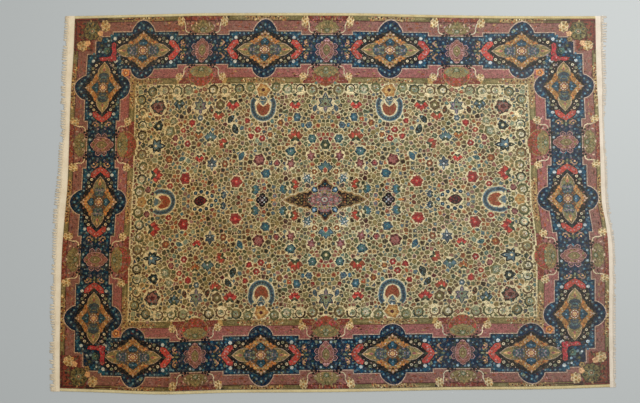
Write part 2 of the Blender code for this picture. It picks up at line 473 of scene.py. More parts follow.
# %% Shapes of the medallion
DARK_GROUND = [(0, 15.4), (5.5, 12.4), (11.6, 10.8), (18.6, 9.8), (21.6, 7.2), (23.0, 3.4), (24.0, 0)]
DIAMOND = [
    (0, 13.6), (1.4, 12.4), (2.6, 11.9), (3.4, 10.4), (5.0, 9.9), (5.6, 8.6), (7.4, 8.2), (8.2, 7.0),
    (10.6, 6.9), (11.9, 5.2), (11.4, 3.4), (10.6, 2.0), (10.4, 0),
]
DIAMOND_HEART = [(0, 9.2), (3.0, 6.9), (6.0, 5.2), (7.8, 4.0), (8.8, 2.2), (8.8, 0)]
DIAMOND_BUDS = (  # s, t, size, yarn
    (9.4, 5.4, 1.6, "amber"), (8.2, 6.2, 0.8, "rust"), (4.4, 8.9, 0.9, "gold"), (2.2, 10.6, 0.8, "rust"),
)
ARM_LEAVES = (  # start, length, width, yarn
    (13.2, 5.6, 2.6, "gold"), (13.4, 3.2, 1.7, "rose"), (16.6, 2.8, 1.2, "peach"),
)
BLUE_SHAPE = [(0, 8.8), (1.4, 7.8), (2.8, 6.8), (3.4, 5.4), (2.2, 4.0), (0, 3.4)]
ARM = [(9.6, 4.4), (13.0, 4.5), (15.6, 3.9), (17.8, 2.6), (19.4, 1.2), (21.0, 0)]
ARM_ROOT = [(3.6, 0), (4.4, 2.4), (6.2, 3.6), (9.2, 3.9), (11.4, 3.0), (12.6, 0)]
CORE = [(0, 3.1), (1.7, 2.7), (3.1, 1.6), (3.9, 0)]
RINGED_FLOWERS = [  # s, t, radius, rim, heart
    (12.9, 8.1, 1.05, "cream", "maroon"), (16.0, 8.9, 1.15, "sage", "maroon"),
    (18.7, 6.5, 1.15, "cream", "maroon"), (0.0, 18.4, 1.1, "lake", "sky"),
    (3.4, 16.8, 1.0, "grey_blue", "sky"), (6.6, 14.6, 1.0, "lake", "sky"),
    (9.4, 12.1, 0.9, "grey_blue", "sky"), (12.8, 12.3, 0.9, "lake", "sky"),
    (16.2, 12.1, 0.9, "grey_blue", "sky"), (19.4, 12.2, 0.9, "lake", "sky"),
    (22.4, 9.0, 1.4, "ice", "ivory"), (25.4, 11.4, 1.0, "lake", "sky"),
    (25.2, 7.6, 0.9, "grey_blue", "sky"), (28.6, 8.8, 1.0, "lake", "sky"),
]
SQUEEZE = {"long": 1.0, "short": 0.88}  # the short sides' medallions are drawn closer together
print("a medallion is", 2 * ARM[-1][0], "cm long on the long sides")

# %% [markdown]
# The medallion goes down from the ground up, each later shape on top of the earlier ones: ground, diamond,
# heart, arms, and the pale flower last.

# %% Parts of the medallion
def medallion_ground(once, four):
    once(four_fold(DARK_GROUND), "ink", 0.02)
    mottled([(0, 0)] + DARK_GROUND, 40, 0.8, "bottle umber deep_teal navy mauve", four)
    for s, t in ((15.2, 6.4), (20.2, 4.2), (10.8, 10.2)):
        four(moved(lobed(0.6, 3, 0.3, s, 0.7, 2), s, t), "blush")
    for s, t in ((24.4, 10.4), (22.0, 11.8)):
        four(moved(lobed(1.9, 5, 0.3, 0.2, 1, 2), s, t), "peacock")
    for flower_row in RINGED_FLOWERS:
        ringed(four, *flower_row)


def medallion_diamond(once, across, four):
    rimmed(once, four_fold(DIAMOND), 0.35, "brown", "ochre", (0.03, 0.05))
    mottled([(0, 0)] + DIAMOND, 96, 0.95, "gold tan blush amber khaki umber tan", four)
    for s, t, size, yarn in DIAMOND_BUDS:
        four(moved(lobed(size, 4, 0.3, 0, 1, 2), s, t), yarn)
    across(moved(leaf(2.6, 1.3, 0, 4), 0, 11.8), "blush")
    once(four_fold(DIAMOND_HEART), "brown", 0.05)
    mottled([(0, 0)] + DIAMOND_HEART, 26, 0.9, "slate maroon tan olive ochre rust khaki", four)
    rimmed(across, mirrored(BLUE_SHAPE), 0.3, "ink", "deep_teal", (0.05, 0.05))
    mottled(BLUE_SHAPE, 16, 0.85, "slate lake steel deep_teal peacock", four)
    across(moved(lobed(0.6, 5), 0, 5.6), "sky")


def medallion_arms(twice, four):
    """A thin light line, slate leaves at the root and a khaki tip."""
    for by, yarn in ((0.75, "ink"), (0.4, "blush"), (0.0, "khaki")):
        twice(grown(folded(ARM), by), yarn)
    mottled([(0, 0)] + ARM, 30, 0.8, "olive tan sage gold brown khaki", four)
    rimmed(twice, folded(ARM_ROOT), 0.25, "bottle", "slate")
    mottled(ARM_ROOT, 30, 0.85, "grey_blue lilac slate sage olive sea", four)
    for start, length, width, yarn in ARM_LEAVES:
        twice(leaf_along(start, length, width), yarn)


def medallion_core(once, four):
    """The pale flower in its red-brown ring."""
    for scale, yarn in ((1.2, "brown"), (1.0, "tan"), (0.84, "mauve"), (0.66, "rust"), (0.48, "straw")):
        once(sized(four_fold(CORE), scale), yarn, 0.04)
    for s, t in ((2.9, 0.9), (1.6, 2.1)):
        four(moved(lobed(0.6, 4, 0, 0.4, 0.7), s, t), "ivory")
    once(lobed(1.3, 5, 0.2, 0.78, per_lobe=2), "amber", 0.04)
    once(lobed(0.6, 4), "straw", 0.04)


print("the medallion's black ground is", DARK_GROUND[0][1] * 2, "cm wide")

# %% [markdown]
# Beyond each arm stands a red flower like an arrowhead, with small sprigs past it. The medallions next to a
# corner have one on one side only, as the corner has a bent flower of its own.

# %% Arrowheads and whole medallions
ARROWHEAD = [(25.0, 0), (20.2, 5.0), (21.0, 7.4), (24.4, 6.8), (27.4, 3.4), (29.4, 0)]
SPRIGS = [  # s, t, size, yarn
    (28.0, 4.4, 0.8, "olive"), (30.2, 2.8, 0.9, "tan"), (31.6, 5.4, 1.1, "peach"), (32.9, 3.8, 0.9, "rose"),
    (31.6, 1.6, 0.9, "moss"), (26.6, 6.2, 0.7, "sage"),
]


def arrowhead(side, middle, hand_scale):
    once = border_pen(side, middle, (hand_scale,))
    across = border_pen(side, middle, (hand_scale,), BOTH)
    petals = folded(ARROWHEAD)
    rimmed(once, petals, 0.4, "ink", "coral")
    mottled(petals, 90, 0.8, "coral cerise rose brick rust pink", once)
    for s, t in ((24.0, 4.8), (26.6, 1.2)):
        across(moved(lobed(0.6, 5, per_lobe=4), s, t), "pink")
    for s, t, size, yarn in SPRIGS:
        across(moved(lobed(size, 3, 0.35, s, 0.8, 2), s, t), yarn)
    once(leaf_along(21.6, 3.6, 2.0), "bottle")
    once(leaf_along(28.8, 2.6, 1.3), "peach")


for side, middle, kind in BORDER_CELLS:
    if kind == "medallion":
        once, twice, across, four = four_pens(side, middle, SQUEEZE[side])
        medallion_ground(once, four)
        medallion_diamond(once, across, four)
        medallion_arms(twice, four)
        medallion_core(once, four)
        for hand in (-1,) if middle > BESIDE_CORNER else BOTH:
            arrowhead(side, middle, hand * SQUEEZE[side])
print(len(cartoon), "shapes after the medallions")

# %% [markdown]
# At each corner the two runs of the border meet in a bent crimson flower with a green one in its crook. The
# mauve outside them holds a large olive palmette on a reddish ground, with a cream flower bunch on either
# side.

# %% The corner
BENT_FLOWER = [
    (163.2, 104.2), (166.6, 103.6), (169.4, 104.6), (172.4, 103.9), (175.2, 104.4), (175.8, 106.2),
    (173.4, 107.0), (170.0, 106.6), (167.2, 107.6), (166.2, 110.6), (166.8, 113.8), (166.6, 116.8),
    (164.9, 117.8), (163.2, 116.4), (163.6, 113.4), (162.8, 110.6), (163.5, 107.4), (162.6, 105.6),
]
CORNER_GROUND = [
    (176.4, 134.5), (177.0, 122.6), (180.9, 122.0), (181.4, 111.6), (195.0, 111.0), (195.0, 134.5),
]
CORNER_SHAPES = [  # x, y, radius, yarn
    (170.6, 111.6, 3.4, "ink"), (170.6, 111.6, 2.9, "sea"), (169.8, 111.2, 1.5, "bottle"),
    (170.2, 111.4, 0.7, "sage"), (174.6, 115.4, 1.7, "bottle"), (174.6, 115.4, 0.9, "olive"),
    (173.6, 110.6, 1.1, "sky"), (169.2, 115.6, 1.1, "sky"), (176.6, 111.0, 0.9, "ice"),
    (169.4, 119.0, 0.9, "ice"), (160.4, 108.2, 1.0, "lilac"), (166.4, 100.8, 1.0, "lilac"),
    (176.4, 120.4, 2.6, "umber"), (176.4, 120.4, 2.1, "tan"), (176.4, 120.4, 1.2, "khaki"),
    (176.4, 120.4, 0.6, "maroon"), (154.6, 95.0, 3.2, "amber"), (154.6, 95.0, 1.9, "rust"),
    (154.6, 95.0, 1.0, "peach"), (176.0, 124.6, 2.4, "peach"), (185.6, 117.4, 2.4, "peach"),
]
CORNER_LINES = ((150, 133.0, 195, 133.7), (193.4, 108, 194.1, 134))  # x and y from, x and y to
BUNCH = [(-1.9, -1.6), (0.3, -2.3), (2.0, -0.8), (1.7, 1.4), (-0.1, 2.2), (-2.1, 0.8), (0, 0)]


def bunch(x, y, size=1.0):
    """Cream and gold blossoms packed together, with dark hearts."""
    pen = pen_at(x, y)
    pen(lobed(3.4 * size, 7, 0.2, 0.2, 1.05, 2), "straw")
    for i, (dx, dy) in enumerate(BUNCH):
        blossom, heart = (("gold", "rust"), ("tan", "brown"), ("peach", "sage"))[i % 3]
        pen(moved(lobed(1.1 * size, 5, 0.25, i, per_lobe=2), dx * size, dy * size), blossom)
        pen(moved(lobed(0.42 * size, 4), dx * size, dy * size), heart)


def corner_palmette(x, y):
    pen = pen_at(x, y)
    shell = lobed(6.9, 9, 0.16, 0.8, per_lobe=3)
    rimmed(pen, shell, 0.6, "umber", "olive", (0.05, 0.05))
    mottled(shell, 120, 0.95, "moss khaki brown olive bottle tan", pen)
    for i in range(8):
        pen(turned(moved(leaf(3.0, 1.1), 0, 2.8), math.pi * i / 4 + 0.4), "umber" if i % 2 else "bottle")
    for radius, yarn in ((2.4, "sage"), (1.3, "brick"), (0.6, "straw")):
        pen(lobed(radius, 5, 0.2, 0.8, per_lobe=2), yarn)


paint(CORNER_GROUND, "brick", 0.03)
mottled(CORNER_GROUND, 120, 1.0, "maroon moss brown olive rust umber", paint)
for corners in CORNER_LINES:
    paint(rectangle(*corners), "maroon")
bunch(172.0, 129.6, 1.15)
bunch(189.4, 115.2, 1.15)
corner_palmette(182.6, 126.4)
rimmed(paint, BENT_FLOWER, 0.5, "ink", "cerise")
mottled(BENT_FLOWER, 120, 0.75, "coral brick rose crimson pink", paint)
for x, y, radius, yarn in CORNER_SHAPES:
    paint(moved(lobed(radius, 5, 0.25, x, per_lobe=2), x, y), yarn)
print(len(cartoon), "shapes after the corner")

# %% [markdown]
# The rosette sits where the navy band narrows: a pinkish oval with dark and pink outlines and a ringed lobe
# on each side, crowded by small light flowers and pink brackets.

# %% Hearts of the rosettes
OVAL = [
    (0, 8.1), (1.4, 7.4), (2.2, 6.0), (3.8, 5.4), (4.4, 3.8), (5.2, 2.6), (5.1, 0), (5.2, -3.0), (4.2, -4.6),
    (3.6, -6.2), (2.2, -7.0), (1.4, -8.6), (0, -9.3),
]
BRACKET = [(13.6, 2.4), (15.4, 3.4), (16.6, 4.8), (16.4, 6.4), (14.8, 7.2)]
ROSETTE_FLOWERS = [  # s, t, radius, rim, heart
    (3.8, 8.9, 1.0, "sky", "ice"), (9.8, 6.2, 0.9, "lake", "sky"), (12.4, 8.6, 0.9, "grey_blue", "slate"),
    (16.4, 9.2, 0.9, "lake", "sky"), (6.9, 7.4, 0.8, "slate", "sky"), (19.0, 6.6, 0.8, "lake", "grey_blue"),
    (11.6, 2.8, 0.8, "lilac", "maroon"), (8.4, 11.6, 0.6, "maroon", "rose"),
]


def rosette_leaves(twice, four):
    """What crowds the navy round the oval."""
    four(band(moved(arc(4.4, 20, 110, 6), 1.6, 6.2), 1.3, 0.7), "bottle")
    four(band(BRACKET, 1.1, 0.8), "tan")
    four(band(BRACKET[1:4], 0.6, 0.8), "pink")
    for s, t, size in ((7.6, 11.6, 1.5), (10.2, 11.2, 1.3), (9.4, 13.2, 1.1), (5.4, 11.8, 1.0)):
        four(moved(lobed(size, 5, 0.3, s, 1, 2), s, t), "ink")
    for flower_row in ROSETTE_FLOWERS:
        ringed(four, *flower_row)
    twice(leaf_along(11.6, 4.4, 2.2), "bottle")
    twice(leaf_along(12.2, 2.8, 1.2), "sage")


def rosette_heart(once, twice, four):
    """The oval with its mottled inside, and the ringed lobes beside it."""
    for radius, yarn in ((2.9, "pink"), (2.3, "navy"), (1.5, "mauve"), (0.7, "sage")):
        four(moved(lobed(radius, 6, 0.08, 0, 0.8), 5.6, 2.4), yarn, 0.05)
    outline = mirrored(OVAL)
    for by, yarn in ((0.8, "ink"), (0.4, "pink"), (-0.1, "maroon"), (-0.4, "mauve")):
        once(grown(outline, by), yarn, 0.04)
    mottled(OVAL, 40, 0.85, "rose mauve tan pink maroon brown khaki", twice)
    for scale, yarn in ((0.6, "pink"), (0.54, "brown"), (0.46, "khaki")):
        once(sized(outline, scale), yarn, 0.04)
    for s, t in ((0, 6.0), (0, -6.8), (3.2, 3.2), (3.2, -3.8)):
        twice(moved(lobed(0.6, 4), s, t), "brick", 0.04)
    for radius, yarn in ((1.6, "brown"), (1.1, "tan"), (0.5, "blush")):
        once(lobed(radius, 4, 0.2, 0.78, 1.2, 2), yarn, 0.04)


print("the oval is", OVAL[0][1] - OVAL[-1][1], "cm tall")

# %% [markdown]
# A fan-shaped olive palmette crowns the rosette on each side of the band, between cream scroll arms that end
# in bunches of gold flowers. On the field side a rust-red dome hangs into the field.

# %% Rosettes with their palmettes
FAN = [
    (0, 12.2), (2.6, 12.3), (5.0, 12.8), (6.8, 13.6), (8.4, 14.6), (8.9, 16.4), (8.0, 17.8), (6.8, 18.4),
    (6.2, 19.6), (4.2, 19.6), (3.2, 20.6), (1.6, 20.2), (0, 20.8),
]
HANGING_DOME = [(0, -17.5), (9.4, -17.5), (9.0, -21.4), (7.4, -23.6), (5.0, -25.6), (2.4, -26.8), (0, -27.2)]
SCROLL_ARM = [(15.4, 20.6), (14.0, 19.4), (13.4, 17.0), (13.6, 15.0), (12.4, 13.2), (10.4, 12.5), (8.4, 13.0)]
SCROLL_ROOM = [(8.4, 12.8), (13, 13), (14.5, 17), (19, 17.6), (19, 20.4), (8.4, 20.4)]
OUTER_FAN_YARNS = "tan khaki blush olive brown"
INNER_FAN_YARNS = "khaki tan tan sage olive"


def fan_palmette(once, twice, yarns):
    rimmed(once, mirrored(FAN), 0.3, "brown", "khaki", (0.04, 0.05))
    mottled(FAN, 52, 0.95, yarns, twice)
    for i in range(5):
        angle = math.radians(-70 + 35 * i)
        once(moved(leaf(3.8, 0.6), 1.8 * math.sin(angle), 14.6, -angle), "moss" if i % 2 else "brown", 0.06)
    for scale, yarn in ((2.2, "moss"), (1.5, "sage"), (0.6, "blush")):
        once(moved(lobed(scale, 6, 0.1, 0.3, 0.8, 2), 0, 14.6), yarn, 0.05)


def rosette_cell(side, middle):
    once, twice, _, four = four_pens(side, middle)
    rimmed(once, mirrored(HANGING_DOME), 0.6, "tan", "rust", (0.03, 0.05))
    mottled(HANGING_DOME, 60, 0.95, "rose rust mauve brick coral cerise brown", twice)
    for t_sign, yarns in ((1, OUTER_FAN_YARNS), (-1, INNER_FAN_YARNS)):
        here, pair = border_pen(side, middle, (1,), (t_sign,)), border_pen(side, middle, BOTH, (t_sign,))
        mottled(SCROLL_ROOM, 24, 0.8, "maroon brown rose tan umber rust blush", pair)
        pair(band(SCROLL_ARM, 0.75), "cream")
        fan_palmette(here, pair, yarns)
        for hand in BOTH:
            bunch(*on_border([(16.9, 20.3)], side, middle, hand, t_sign)[0], 0.9)
    rosette_leaves(twice, four)
    rosette_heart(once, twice, four)


for side, middle, kind in BORDER_CELLS:
    if kind == "rosette":
        rosette_cell(side, middle)
print(len(cartoon), "shapes after the rosettes")

# %% [markdown]
# The field's flowers come from a short table of the big ones, placed where the carpet has them, and then a
# dense fill of small ones. No big flower is one flat colour: each is a cluster of petals, touches and hearts
# in kindred yarns inside a thin light line. The plainest kinds are the round flower, the carnation seen from
# the side and the single leaf.

# %% Round flowers, carnations and leaves
HALO = 0.35  # the light line round a big flower
SWAY = 0.2  # how far a round flower may be turned at random


def dabs(pen, size, yarns, count, squash=1.0, turn=0.0):
    """Small touches scattered over a flower, so that it looks mottled."""
    for i in range(count):
        angle = 2.4 * i + draw_rng.uniform(-0.3, 0.3)
        reach = size * math.sqrt((i + 0.5) / count) * 0.86
        spot = turned([(reach * math.cos(angle), reach * math.sin(angle) * squash)], turn)[0]
        pen(moved(touch(), *spot), draw_rng.choice(yarns), 0.14)


def ragged(radius, lobes, depth):
    """A flower's outline whose petals differ in length."""
    reach = [draw_rng.uniform(0.84, 1.1) for _ in range(lobes)]
    stretch = [reach[(i + 1) // 3 % lobes] for i in range(lobes * 3)]
    return [(x * far, y * far) for (x, y), far in zip(lobed(radius, lobes, depth, per_lobe=3), stretch)]


def flower(pen, size, rim, body, ring, heart, lobes=6, depth=0.25):
    """Rings of ragged petals, with touches over them and a small heart."""
    outline = ragged(size, lobes, depth)
    if size > 2.2:
        pen(grown(outline, HALO), "straw")
    pen(outline, rim)
    pen(moved(outline, 0, 0, 0.4, 0.66), body)
    dabs(pen, size, (rim, body, ring, body, ring), int(size * size * 0.9))
    pen(lobed(size * 0.28, 5, 0.1), draw_rng.choice((ring, heart)))
    if size > 3.2:
        pen(lobed(size * 0.12, 4), heart)


def fan(pen, size, rim, body, ring, heart):
    """A carnation: five ragged petals like fingers over a small cup."""
    petals = []
    for i in range(5):
        angle = math.radians(-66 + 33 * i)
        length = size * (1.3 if i == 2 else draw_rng.uniform(1.02, 1.2))
        petals.append((leaf(length, size * 0.7), -angle))
    for by, yarn in ((HALO + 0.1, "straw"), (0.1, rim)):
        for petal, angle in petals:
            pen(grown(moved(petal, 0, -size * 0.25, angle), by), yarn)
    for i, (petal, angle) in enumerate(petals):
        pen(moved(petal, 0, -size * 0.25, angle, 0.84), body if i % 2 else ring)
        for out in (0.36, 0.58, 0.8):
            dab = turned(moved(touch(0.4, 0.75), 0, size * out), angle)
            pen(dab, draw_rng.choice((rim, body, ring)), 0.14)
    for hand in BOTH:
        pen(moved(leaf(size * 0.8, size * 0.4, 0, 4), 0, -size * 0.2, hand * 2.2), "bottle")
    pen(moved(lobed(size * 0.36, 5, 0.2, 0, 0.8, 2), 0, -size * 0.2), "moss")
    pen(lobed(size * 0.16, 4), heart)


def big_leaf(pen, size, rim, body, ring, _):
    shape = moved(leaf(size * 2, size * 1.15, size * 0.12, 7), 0, -size)
    rimmed(pen, shape, HALO, "straw", rim)
    pen([(px * 0.74, py * 0.84) for px, py in shape], body)
    dabs(pen, size * 0.8, (rim, body, ring), int(size * 3), 0.45, math.pi / 2)
    for along in (-0.4, 0.0, 0.4):
        for hand in BOTH:
            rib = leaf(size * 0.4, size * 0.16, 0, 3)
            rib = moved(rib, 0.08 * size * hand, along * size, -0.9 * hand)
            pen(rib, ring if along > 0 else rim)


print("a ragged outline has", len(ragged(5, 6, 0.25)), "points")

# %% [markdown]
# Three grander kinds follow. The palmette has paired dark petals on a stem. The garland is an open hoop round
# a shield and a cup of petals. The clover is a dark pendant of four round lobes.

# %% Palmettes, garlands and clovers
PETALS = (  # angle in degrees, length, width
    (0, 1.15, 0.6), (50, 0.92, 0.54), (-50, 0.92, 0.54), (106, 0.78, 0.5), (-106, 0.78, 0.5),
    (180, 0.95, 0.42),
)
SHIELD = [(0, -0.74), (0.4, -0.56), (0.64, -0.16), (0.7, 0.3), (0.5, 0.62), (0.2, 0.3), (0, 0.2)]
CUP = [(0, 0.28), (0.26, 0.6), (0.44, 0.98), (0, 1.08)]
CLOVER_LOBES = ((0.55, 0), (0, 0.62), (-0.55, 0), (0, -0.62))


def palmette(pen, size, rim, body, ring, heart):
    for by, yarn in ((HALO, "straw"), (0.0, rim)):
        for angle, reach, width in PETALS:
            pen(grown(turned(leaf(size * reach, size * width), math.radians(angle)), by), yarn)
    for i, (angle, reach, width) in enumerate(PETALS):
        inner = leaf(size * reach * 0.8, size * width * 0.6, 0, 4)
        pen(turned(inner, math.radians(angle)), body if i % 2 else ring)
        for out in (0.8, 0.6, 0.42):
            dab = turned(moved(touch(0.4, 0.8), 0, size * reach * out), math.radians(angle))
            pen(dab, draw_rng.choice((rim, body, ring, heart)), 0.14)
    pen(lobed(size * 0.34, 5, 0.25, 0.3, per_lobe=2), ring)
    pen(lobed(size * 0.17, 4), heart)


def garland(pen, size, rim, body, ring, heart):
    """A hoop like a horseshoe that opens along +Y."""
    arms = [(0.86, 0.98), (1.06, 0.7), (1.1, 0.3)]
    hoop = arms + arc(1.04, 0, -180, 12) + [(-px, py) for px, py in reversed(arms)]
    hoop = sized(hoop, size)
    for width, yarn in ((0.56, "cream"), (0.46, rim), (0.26, body)):
        pen(band(hoop, size * width), yarn)
    for px, py in hoop:
        for out, touches in ((0.92, (body, "sage", "sea")), (1.09, (rim, "lake", "bottle", "sea"))):
            pen(moved(touch(0.5, 0.8), px * out, py * out), draw_rng.choice(touches), 0.12)
    hearts = f"{ring} {heart} brick rust tan crimson"
    for half, count, touches in ((SHIELD, 50, hearts), (CUP, 24, "slate grey_blue khaki")):
        shape = sized(mirrored(half), size)
        rimmed(pen, shape, 0.4, "straw", touches.split()[1])
        mottled(shape, count, 0.6, touches, pen)


def clover(pen, size, rim, body, _, heart):
    for by, yarn in ((HALO, "straw"), (0.0, rim)):
        for px, py in CLOVER_LOBES:
            pen(moved(lobed(size * 0.6 + by, 7), px * size, py * size), yarn, 0.03)
        pen(lobed(size * 0.5 + by, 6), yarn, 0.03)
    for i in range(4):
        petals = ((0.5, 0.17, 0.78, (body, heart)[i % 2]), (0.66, 0.13, 1.57, body))
        for reach, radius, angle, petal in petals:
            spot = moved(lobed(size * radius, 5, 0.1, i, 0.9), size * reach, 0)
            pen(turned(spot, math.pi * i / 2 + angle), petal)
    pen(lobed(size * 0.3, 5, 0.2, per_lobe=2), body)
    pen(lobed(size * 0.14, 4), heart)


KINDS = {
    "flower": flower, "fan": fan, "leaf": big_leaf,
    "palmette": palmette, "garland": garland, "clover": clover,
}
print(len(KINDS), "kinds of big flower")

# %% [markdown]
# The table gives each big flower its kind, place, size, dyes and turn. Each dye scheme lists a rim, a body, a
# ring and a heart. A list of circles keeps note of the room they take, for the small flowers to fill what's
# left.

# %% Big flowers of the field
SCHEMES = {
    "red": "brick crimson coral blush", "bright": "brick coral rust straw", "olive": "brown olive moss straw",
    "rose": "maroon rose mauve crimson", "rust": "brown rust ochre straw", "blue": "slate lake sea sky",
    "teal": "deep_teal sea grey_blue ivory", "grey": "slate grey_blue slate ivory",
    "green": "bottle moss sage straw", "pale": "olive sage cream olive", "umber": "ink brown rust gold",
    "bottle": "ink bottle grey_blue straw", "garland": "grey_blue slate tan rust",
    "mauve": "maroon mauve rose pink", "garnet": "ink maroon crimson lilac",
    "smoke": "umber mauve sea maroon",
    "old_gold": "ochre gold tan maroon", "plum": "slate lilac sage maroon", "clover": "ink lilac ivory ice",
}
BIG_FLOWERS = [  # kind, x, y, size, scheme, turn in degrees
    ("flower", 127.8, 69.5, 6.9, "smoke", 10), ("palmette", 94.9, 69.0, 6.6, "plum", 0),
    ("flower", 94.9, 60.6, 2.5, "grey", 0), ("leaf", 103.4, 67.0, 3.2, "umber", 14),
    ("leaf", 86.4, 67.0, 3.2, "umber", -14), ("fan", 69.8, 70.6, 5.2, "red", 180),
    ("garland", 46.8, 67.4, 7.4, "garland", 0), ("flower", 46.8, 75.9, 2.7, "grey", 0),
    ("flower", 46.8, 81.4, 5.4, "old_gold", 0),
    ("fan", 80.9, 63.0, 4.6, "bright", 180), ("flower", 79.4, 70.4, 4.2, "olive", 30),
    ("fan", 111.4, 71.6, 4.8, "bottle", 180), ("flower", 115.6, 58.7, 3.4, "pale", 0),
    ("flower", 101.1, 57.2, 3.0, "red", 20), ("leaf", 70.9, 59.8, 4.0, "bottle", 40),
    ("leaf", 67.6, 52.6, 4.4, "bottle", -20), ("flower", 127.3, 55.4, 4.4, "bottle", 0),
    ("flower", 107.9, 52.0, 2.4, "bright", 0), ("flower", 118.3, 51.3, 4.6, "pale", 12),
    ("flower", 114.0, 46.1, 2.8, "rose", 0), ("flower", 104.4, 42.1, 2.9, "red", 0),
    ("fan", 96.1, 48.6, 3.8, "rust", 180), ("fan", 86.8, 46.4, 4.8, "teal", 0),
    ("flower", 79.1, 47.2, 2.4, "green", 0), ("fan", 76.6, 41.6, 4.6, "bright", -60),
    ("palmette", 129.1, 40.8, 7.2, "bottle", 90), ("leaf", 62.5, 32.3, 3.8, "blue", 28),
    ("flower", 49.1, 29.3, 4.9, "rose", 0), ("palmette", 85.3, 26.4, 5.4, "grey", 0),
    ("flower", 58.7, 58.5, 2.6, "red", 0), ("flower", 50.5, 51.8, 2.9, "red", 0),
    ("flower", 55.9, 46.9, 2.8, "red", 30), ("flower", 47.2, 45.4, 2.8, "red", 0),
    ("flower", 41.2, 48.0, 2.6, "rust", 0), ("flower", 118.5, 30.9, 3.4, "rust", 0),
    ("leaf", 108.2, 30.8, 3.0, "teal", 70), ("fan", 95.1, 31.4, 3.6, "red", 180),
    ("flower", 75.3, 26.7, 3.2, "rust", 0), ("flower", 44.1, 19.4, 4.1, "blue", 0),
    ("fan", 52.0, 7.6, 4.2, "blue", 90), ("fan", 30.3, 7.9, 3.8, "blue", -110),
    ("fan", 22.8, 11.4, 4.2, "bright", 80), ("flower", 66.3, 13.6, 4.9, "red", 15),
    ("fan", 22.4, 46.6, 5.6, "bright", 0), ("flower", 9.8, 44.9, 3.8, "teal", 0),
    ("flower", 25.8, 35.7, 4.2, "teal", 0), ("flower", 0.0, 40.2, 4.2, "green", 0),
    ("fan", 0.0, 23.4, 5.4, "teal", 0), ("leaf", 0.0, 21.6, 2.2, "bright", 0),
    ("palmette", 13.6, 16.2, 4.6, "teal", 150), ("flower", 8.0, 20.6, 2.4, "rust", 0),
    ("palmette", 10.6, 32.6, 4.4, "mauve", 170), ("palmette", 25.6, 26.0, 4.4, "mauve", 20),
    ("garland", 121.4, 0.0, 7.1, "garland", -90), ("flower", 132.2, 0.0, 2.6, "green", 0),
    ("flower", 138.6, 0.0, 4.4, "old_gold", 0), ("fan", 128.6, 19.6, 5.8, "red", 90),
    ("flower", 134.0, 8.6, 2.9, "rose", 0), ("fan", 22.6, 70.6, 4.4, "red", 180),
    ("flower", 21.0, 60.9, 3.6, "blue", 0), ("palmette", 0.0, 70.9, 7.6, "plum", 0),
    ("leaf", 7.6, 67.6, 3.0, "grey", 20), ("flower", 105.4, 16.6, 4.8, "red", 0),
    ("leaf", 93.1, 0.0, 5.6, "garnet", 90), ("flower", 12.2, 55.0, 3.0, "grey", 0),
    ("flower", 33.5, 57.0, 3.0, "rust", 0), ("flower", 117.0, 11.6, 2.7, "red", 0),
    ("fan", 76.0, 4.0, 3.0, "grey", 90), ("flower", 36.0, 27.0, 2.8, "rose", 0),
    ("clover", 46.2, 0.0, 4.4, "clover", 0),
]
DOT_RING = [(81.5, 0.0), (84.5, 3.4), (88.3, 5.6), (92.8, 6.6), (97.2, 5.8)]  # round the dark leaf
taken = []  # circles that the small flowers keep off, as x, y, radius


def room_of(kind, size):
    """The circles that cover a flower of one kind, about its own middle, as x, y, radius."""
    if kind == "garland":
        hoop = [(px, py, size * 0.36) for px, py in arc(size, 170, 370, 8)]
        arms = [(hand * 0.7 * size, 0.55 * size, size * 0.45) for hand in (-1, 0, 1)]
        return hoop + arms + [(0, 0, size * 0.75)]
    if kind == "leaf":
        return [(0, along * size, size * 0.55) for along in (-0.5, 0.5)]
    return [(0, 0, size * (0.94 if kind == "flower" else 0.82))]


def big_flowers():
    for kind, x, y, size, scheme, degrees in BIG_FLOWERS:
        turn = math.radians(degrees)
        KINDS[kind](pen_at(x, y, turn, SWAY if kind == "flower" else 0), size, *SCHEMES[scheme].split())
        for px, py, radius in room_of(kind, size):
            taken.append((*moved([(px, py)], x, y, turn)[0], radius))
    for x, y in DOT_RING:
        flower(pen_at(x, y, 0, SWAY), 1.7, "navy", "deep_teal", "lake", "sky", 5, 0.15)
        taken.append((x, y, 1.7))


print(len(BIG_FLOWERS) + len(DOT_RING), "big flowers in a quarter")

# %% [markdown]
# The middle of the field is a long medallion: a pinkish-grey body with a pale heart, blue ovals at its four
# shoulders, black tips above and below, and dark, mottled arms that reach along the carpet. A touch on it
# goes into all four quarters, as it may cross from one to the next.

# %% The central medallion of the field
CENTRE = [
    (0, 14.8), (1.8, 13.0), (2.4, 11.2), (4.4, 10.4), (5.0, 9.2), (7.6, 9.0), (9.2, 7.8), (9.0, 6.4),
    (11.4, 6.0), (12.2, 4.6), (14.6, 5.0), (17.2, 4.0), (19.4, 4.2), (21.2, 2.6), (24.4, 2.2), (26.8, 1.0),
    (28.8, 0),
]
CENTRE_BODY = [(0, 9.6), (3.4, 8.0), (6.4, 6.0), (9.4, 4.4), (11.6, 2.6), (12.2, 0)]
CENTRE_TIP = [(0, 14.4), (3.2, 10.2), (4, 9)]
CENTRE_FLOWERS = (  # x, y, size, dyes
    (7.6, 7.4, 3.0, "ink steel sky ice"), (0, 11.6, 1.5, "ink deep_teal lake sea"),
    (15.0, 1.8, 1.5, "ink rust brown gold"), (19.4, 0, 1.7, "ink brown ochre gold"),
    (11.8, 0, 1.3, "maroon rose pink ivory"), (24.0, 0, 1.2, "ink umber rust ochre"),
)
CENTRE_STEP, CENTRE_ROOM = 2, 2.2  # circles this far apart, and this large, keep small flowers off it


def centre_pen(points, yarn, spread):
    for x_sign in BOTH:
        for y_sign in BOTH:
            paint([(x * x_sign, y * y_sign) for x, y in points], yarn, spread)


